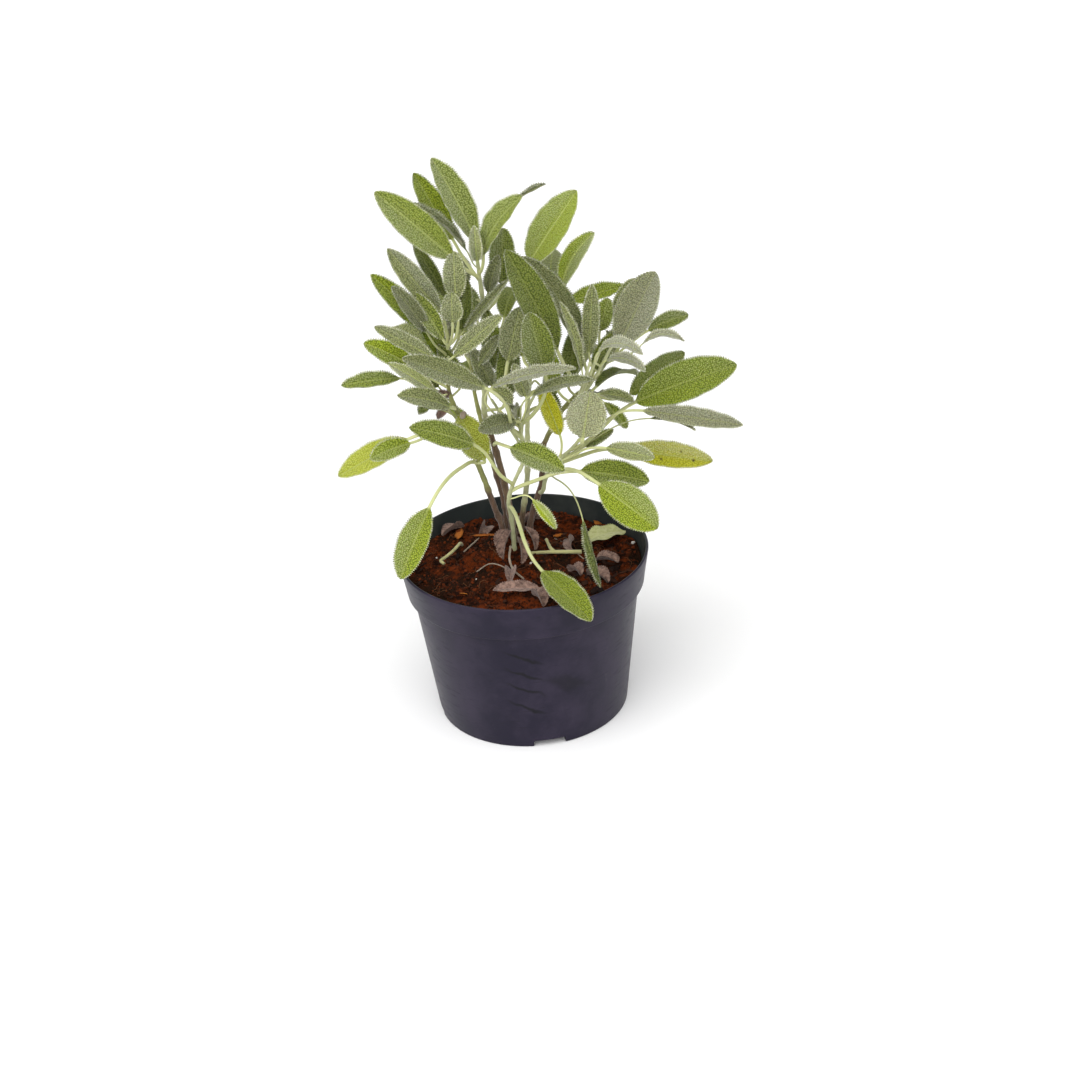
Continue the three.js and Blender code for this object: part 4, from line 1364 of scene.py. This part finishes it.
# Dead leaves at the stems' feet and on the soil, in mm and degrees: blade base, blade tip, width, and shape.
CRUMPLED_LEAVES = [
    ((-7, 8, 116), (-13, -2, 101), 6, dict(tilt=70, lean=-40, fold=40, arch=3)),
    ((-3, 4, 113), (-2, -9, 101), 6, dict(tilt=60, lean=30, fold=45, arch=3)),
    ((2, 12, 116), (7, 4, 103), 6, dict(tilt=60, lean=50, fold=35, arch=2)),
    ((-9, 18, 112), (-16, 12, 101), 6, dict(tilt=60, lean=-60, fold=40, arch=2)),
    ((4, -48, 101), (10, -60, 98.5), 8, dict(tilt=10, lean=20, fold=45, arch=3)),
    ((-8, -16, 101.5), (-9, -31, 99.5), 7, dict(tilt=0, fold=45, arch=2)),
    ((-24, 46, 101), (-28, 33, 100), 8, dict(tilt=0, lean=40, fold=40, arch=3)),
    ((38, -24, 99), (50, -36, 98.5), 9, dict(tilt=0, lean=10, fold=35, arch=3)),
    ((27, -18, 98.5), (34, -26, 99), 7, dict(tilt=20, lean=30, fold=40, arch=3)),
    ((44, -8, 100), (58, -14, 100), 9, dict(tilt=-10, lean=-20, fold=30, arch=2)),
    ((32, 20, 101), (30, 4, 101), 7, dict(tilt=10, lean=-50, fold=40, arch=2)),
    ((-2, 44, 102), (12, 56, 99), 9, dict(tilt=-10, lean=-20, fold=30, arch=2)),
    ((-38, 52, 99), (-52, 40, 99), 9, dict(tilt=-10, lean=-20, fold=30, arch=2)),
]

# Dead leaves that hang from the left stem: blade base, blade tip and width in mm.
WITHERED_LEAVES = [((-40, 9, 200), (-46, 7, 195), 5), ((-38, 10, 208), (-44, 6, 213), 4)]


def make_dead_leaves(brown, pale):
    stations = cad_leaf("dried_leaf", tip_first=True)
    piece = build_leaf("dried_leaf_fine", stations, brown, 401, 0.4, 0.10 * MM, 0.4)
    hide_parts("dried_leaf")
    stations = cad_leaf("fallen_leaf", tip_first=True)
    stations["half_width"] *= 1.15
    piece = build_leaf("fallen_leaf_fine", stations, pale, 402, 0.9, 0.25 * MM, 0.6)
    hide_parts("fallen_leaf")
    for index, (base, tip, width, shape) in enumerate(CRUMPLED_LEAVES):
        stations = planned_leaf(base, tip, width, **shape)
        name = f"crumpled_leaf_{index + 1}"
        build_leaf(name, stations, brown, 410 + index, 0.6, 0.40 * MM, 0.3)
    for index, (base, tip, width) in enumerate(WITHERED_LEAVES):
        stations = planned_leaf(base, tip, width, fold=35, arch=1)
        build_leaf(f"withered_leaf_{index + 1}", stations, brown, 440 + index, 1.0, 0.8 * MM)


def make_dead_stalks(brown, pale):
    """Dead stalks on the soil, a pruned stub on the left stem, the forked twig and a pale curl."""
    _, rings, _ = cad_rings("twig", STEM_SIDES)
    centres = [ring.mean(axis=0) / MM for ring in rings]
    piece = thin_stem("twig_fine", centres, 1.35, pale, 0.0, 1.0)
    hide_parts("twig")
    branch = [(19, 3, 101.8), (17, 6, 102.5), (15.5, 11, 103.5), (14.5, 15, 104.5)]
    thin_stem("twig_branch", branch, 1.1, pale, 0.0, 0.9)
    leaf_stalk = [lying(8, -42, 1.4), lying(12, -43, 2.0), lying(16, -46)]
    thin_stem("dried_leaf_stalk", leaf_stalk, 0.5, brown, 0.6)
    stalks = [
        ([(-8, 2, 108), (-9, -6, 103), lying(-7, -14, 1.2), lying(-1, -22)], 0.75),
        ([lying(-30, -6), lying(-22, -3, 2.6), lying(-14, -8, 3.0), lying(-9, -16, 1.6)], 0.4),
        ([lying(-38, 20, 1.2), lying(-30, 28, 1.6), lying(-25, 36, 2.0)], 0.5),
        ([lying(20, 26), lying(28, 16, 2.0), lying(37, 2)], 0.4),
    ]
    for index, (path, radius) in enumerate(stalks):
        thin_stem(f"dead_stalk_{index + 1}", path, radius, brown, 0.3, radius * 0.8)
    stub = [(-32, 14, 190), (-31, 10, 194), (-30, 6, 197.5)]
    thin_stem("pruned_stub", stub, 1.6, brown, 0.4, 1.9)
    curl = [lying(-39, 27), (-40, 20, 103), (-43, 12, 103.5), (-48, 6, 102), (-52, 3, 100.5), (-50, 0, 100)]
    thin_stem("pale_curl", curl, 0.9, pale, 0.1, 1.0)


# ---- Assembly ---------------------------------------------------------------------------------

noise.seed_set(NOISE_SEED)
make_camera()
for sun in SUNS:
    make_sun(*sun)
make_world()
make_floor()
for stem_node in STEM_NODES:
    read_stem(stem_node)

leaf_materials = {name: leaf_material(name) for name in LEAF_LOOKS}
make_leaves(leaf_materials)
stem_materials = {
    "woody_stem": stem_material("woody_stem", (0.29, 0.30, 0.095), (0.075, 0.040, 0.024), 0.0007),
    "green_stem": stem_material("green_stem", (0.54, 0.56, 0.30), (0.090, 0.055, 0.030), 0.0005),
}
make_stems(stem_materials)
for fan_index, (fan_path, fan_radius) in enumerate(FAN_STALKS):
    thin_stem(f"fan_stalk_{fan_index + 1}", fan_path, fan_radius, stem_materials["green_stem"])
make_pot(pot_material())
make_soil(soil_material())
make_crumbs(crumb_material("soil_crumb", (0.010, 0.003, 0.0008), (0.15, 0.029, 0.005)))
make_chips(
    crumb_material("dark_bark", (0.010, 0.005, 0.004), (0.075, 0.026, 0.012)),
    crumb_material("orange_bark", (0.26, 0.070, 0.012), (0.50, 0.17, 0.030)),
    crumb_material("pale_mineral", (0.45, 0.42, 0.36), (0.75, 0.72, 0.66)),
)
make_fibres(crumb_material("coir", (0.025, 0.010, 0.005), (0.17, 0.070, 0.030)))
make_dead_leaves(
    dead_leaf_material("dead_leaf", (0.070, 0.036, 0.026), (0.30, 0.185, 0.14)),
    dead_leaf_material("pale_leaf", (0.36, 0.38, 0.13), (0.55, 0.56, 0.27)),
)
make_dead_stalks(
    stem_material("dead_stalk", (0.34, 0.27, 0.20), (0.12, 0.07, 0.05), 0.0004),
    stem_material("pale_twig", (0.48, 0.46, 0.20), (0.30, 0.24, 0.12), 0.0004),
)
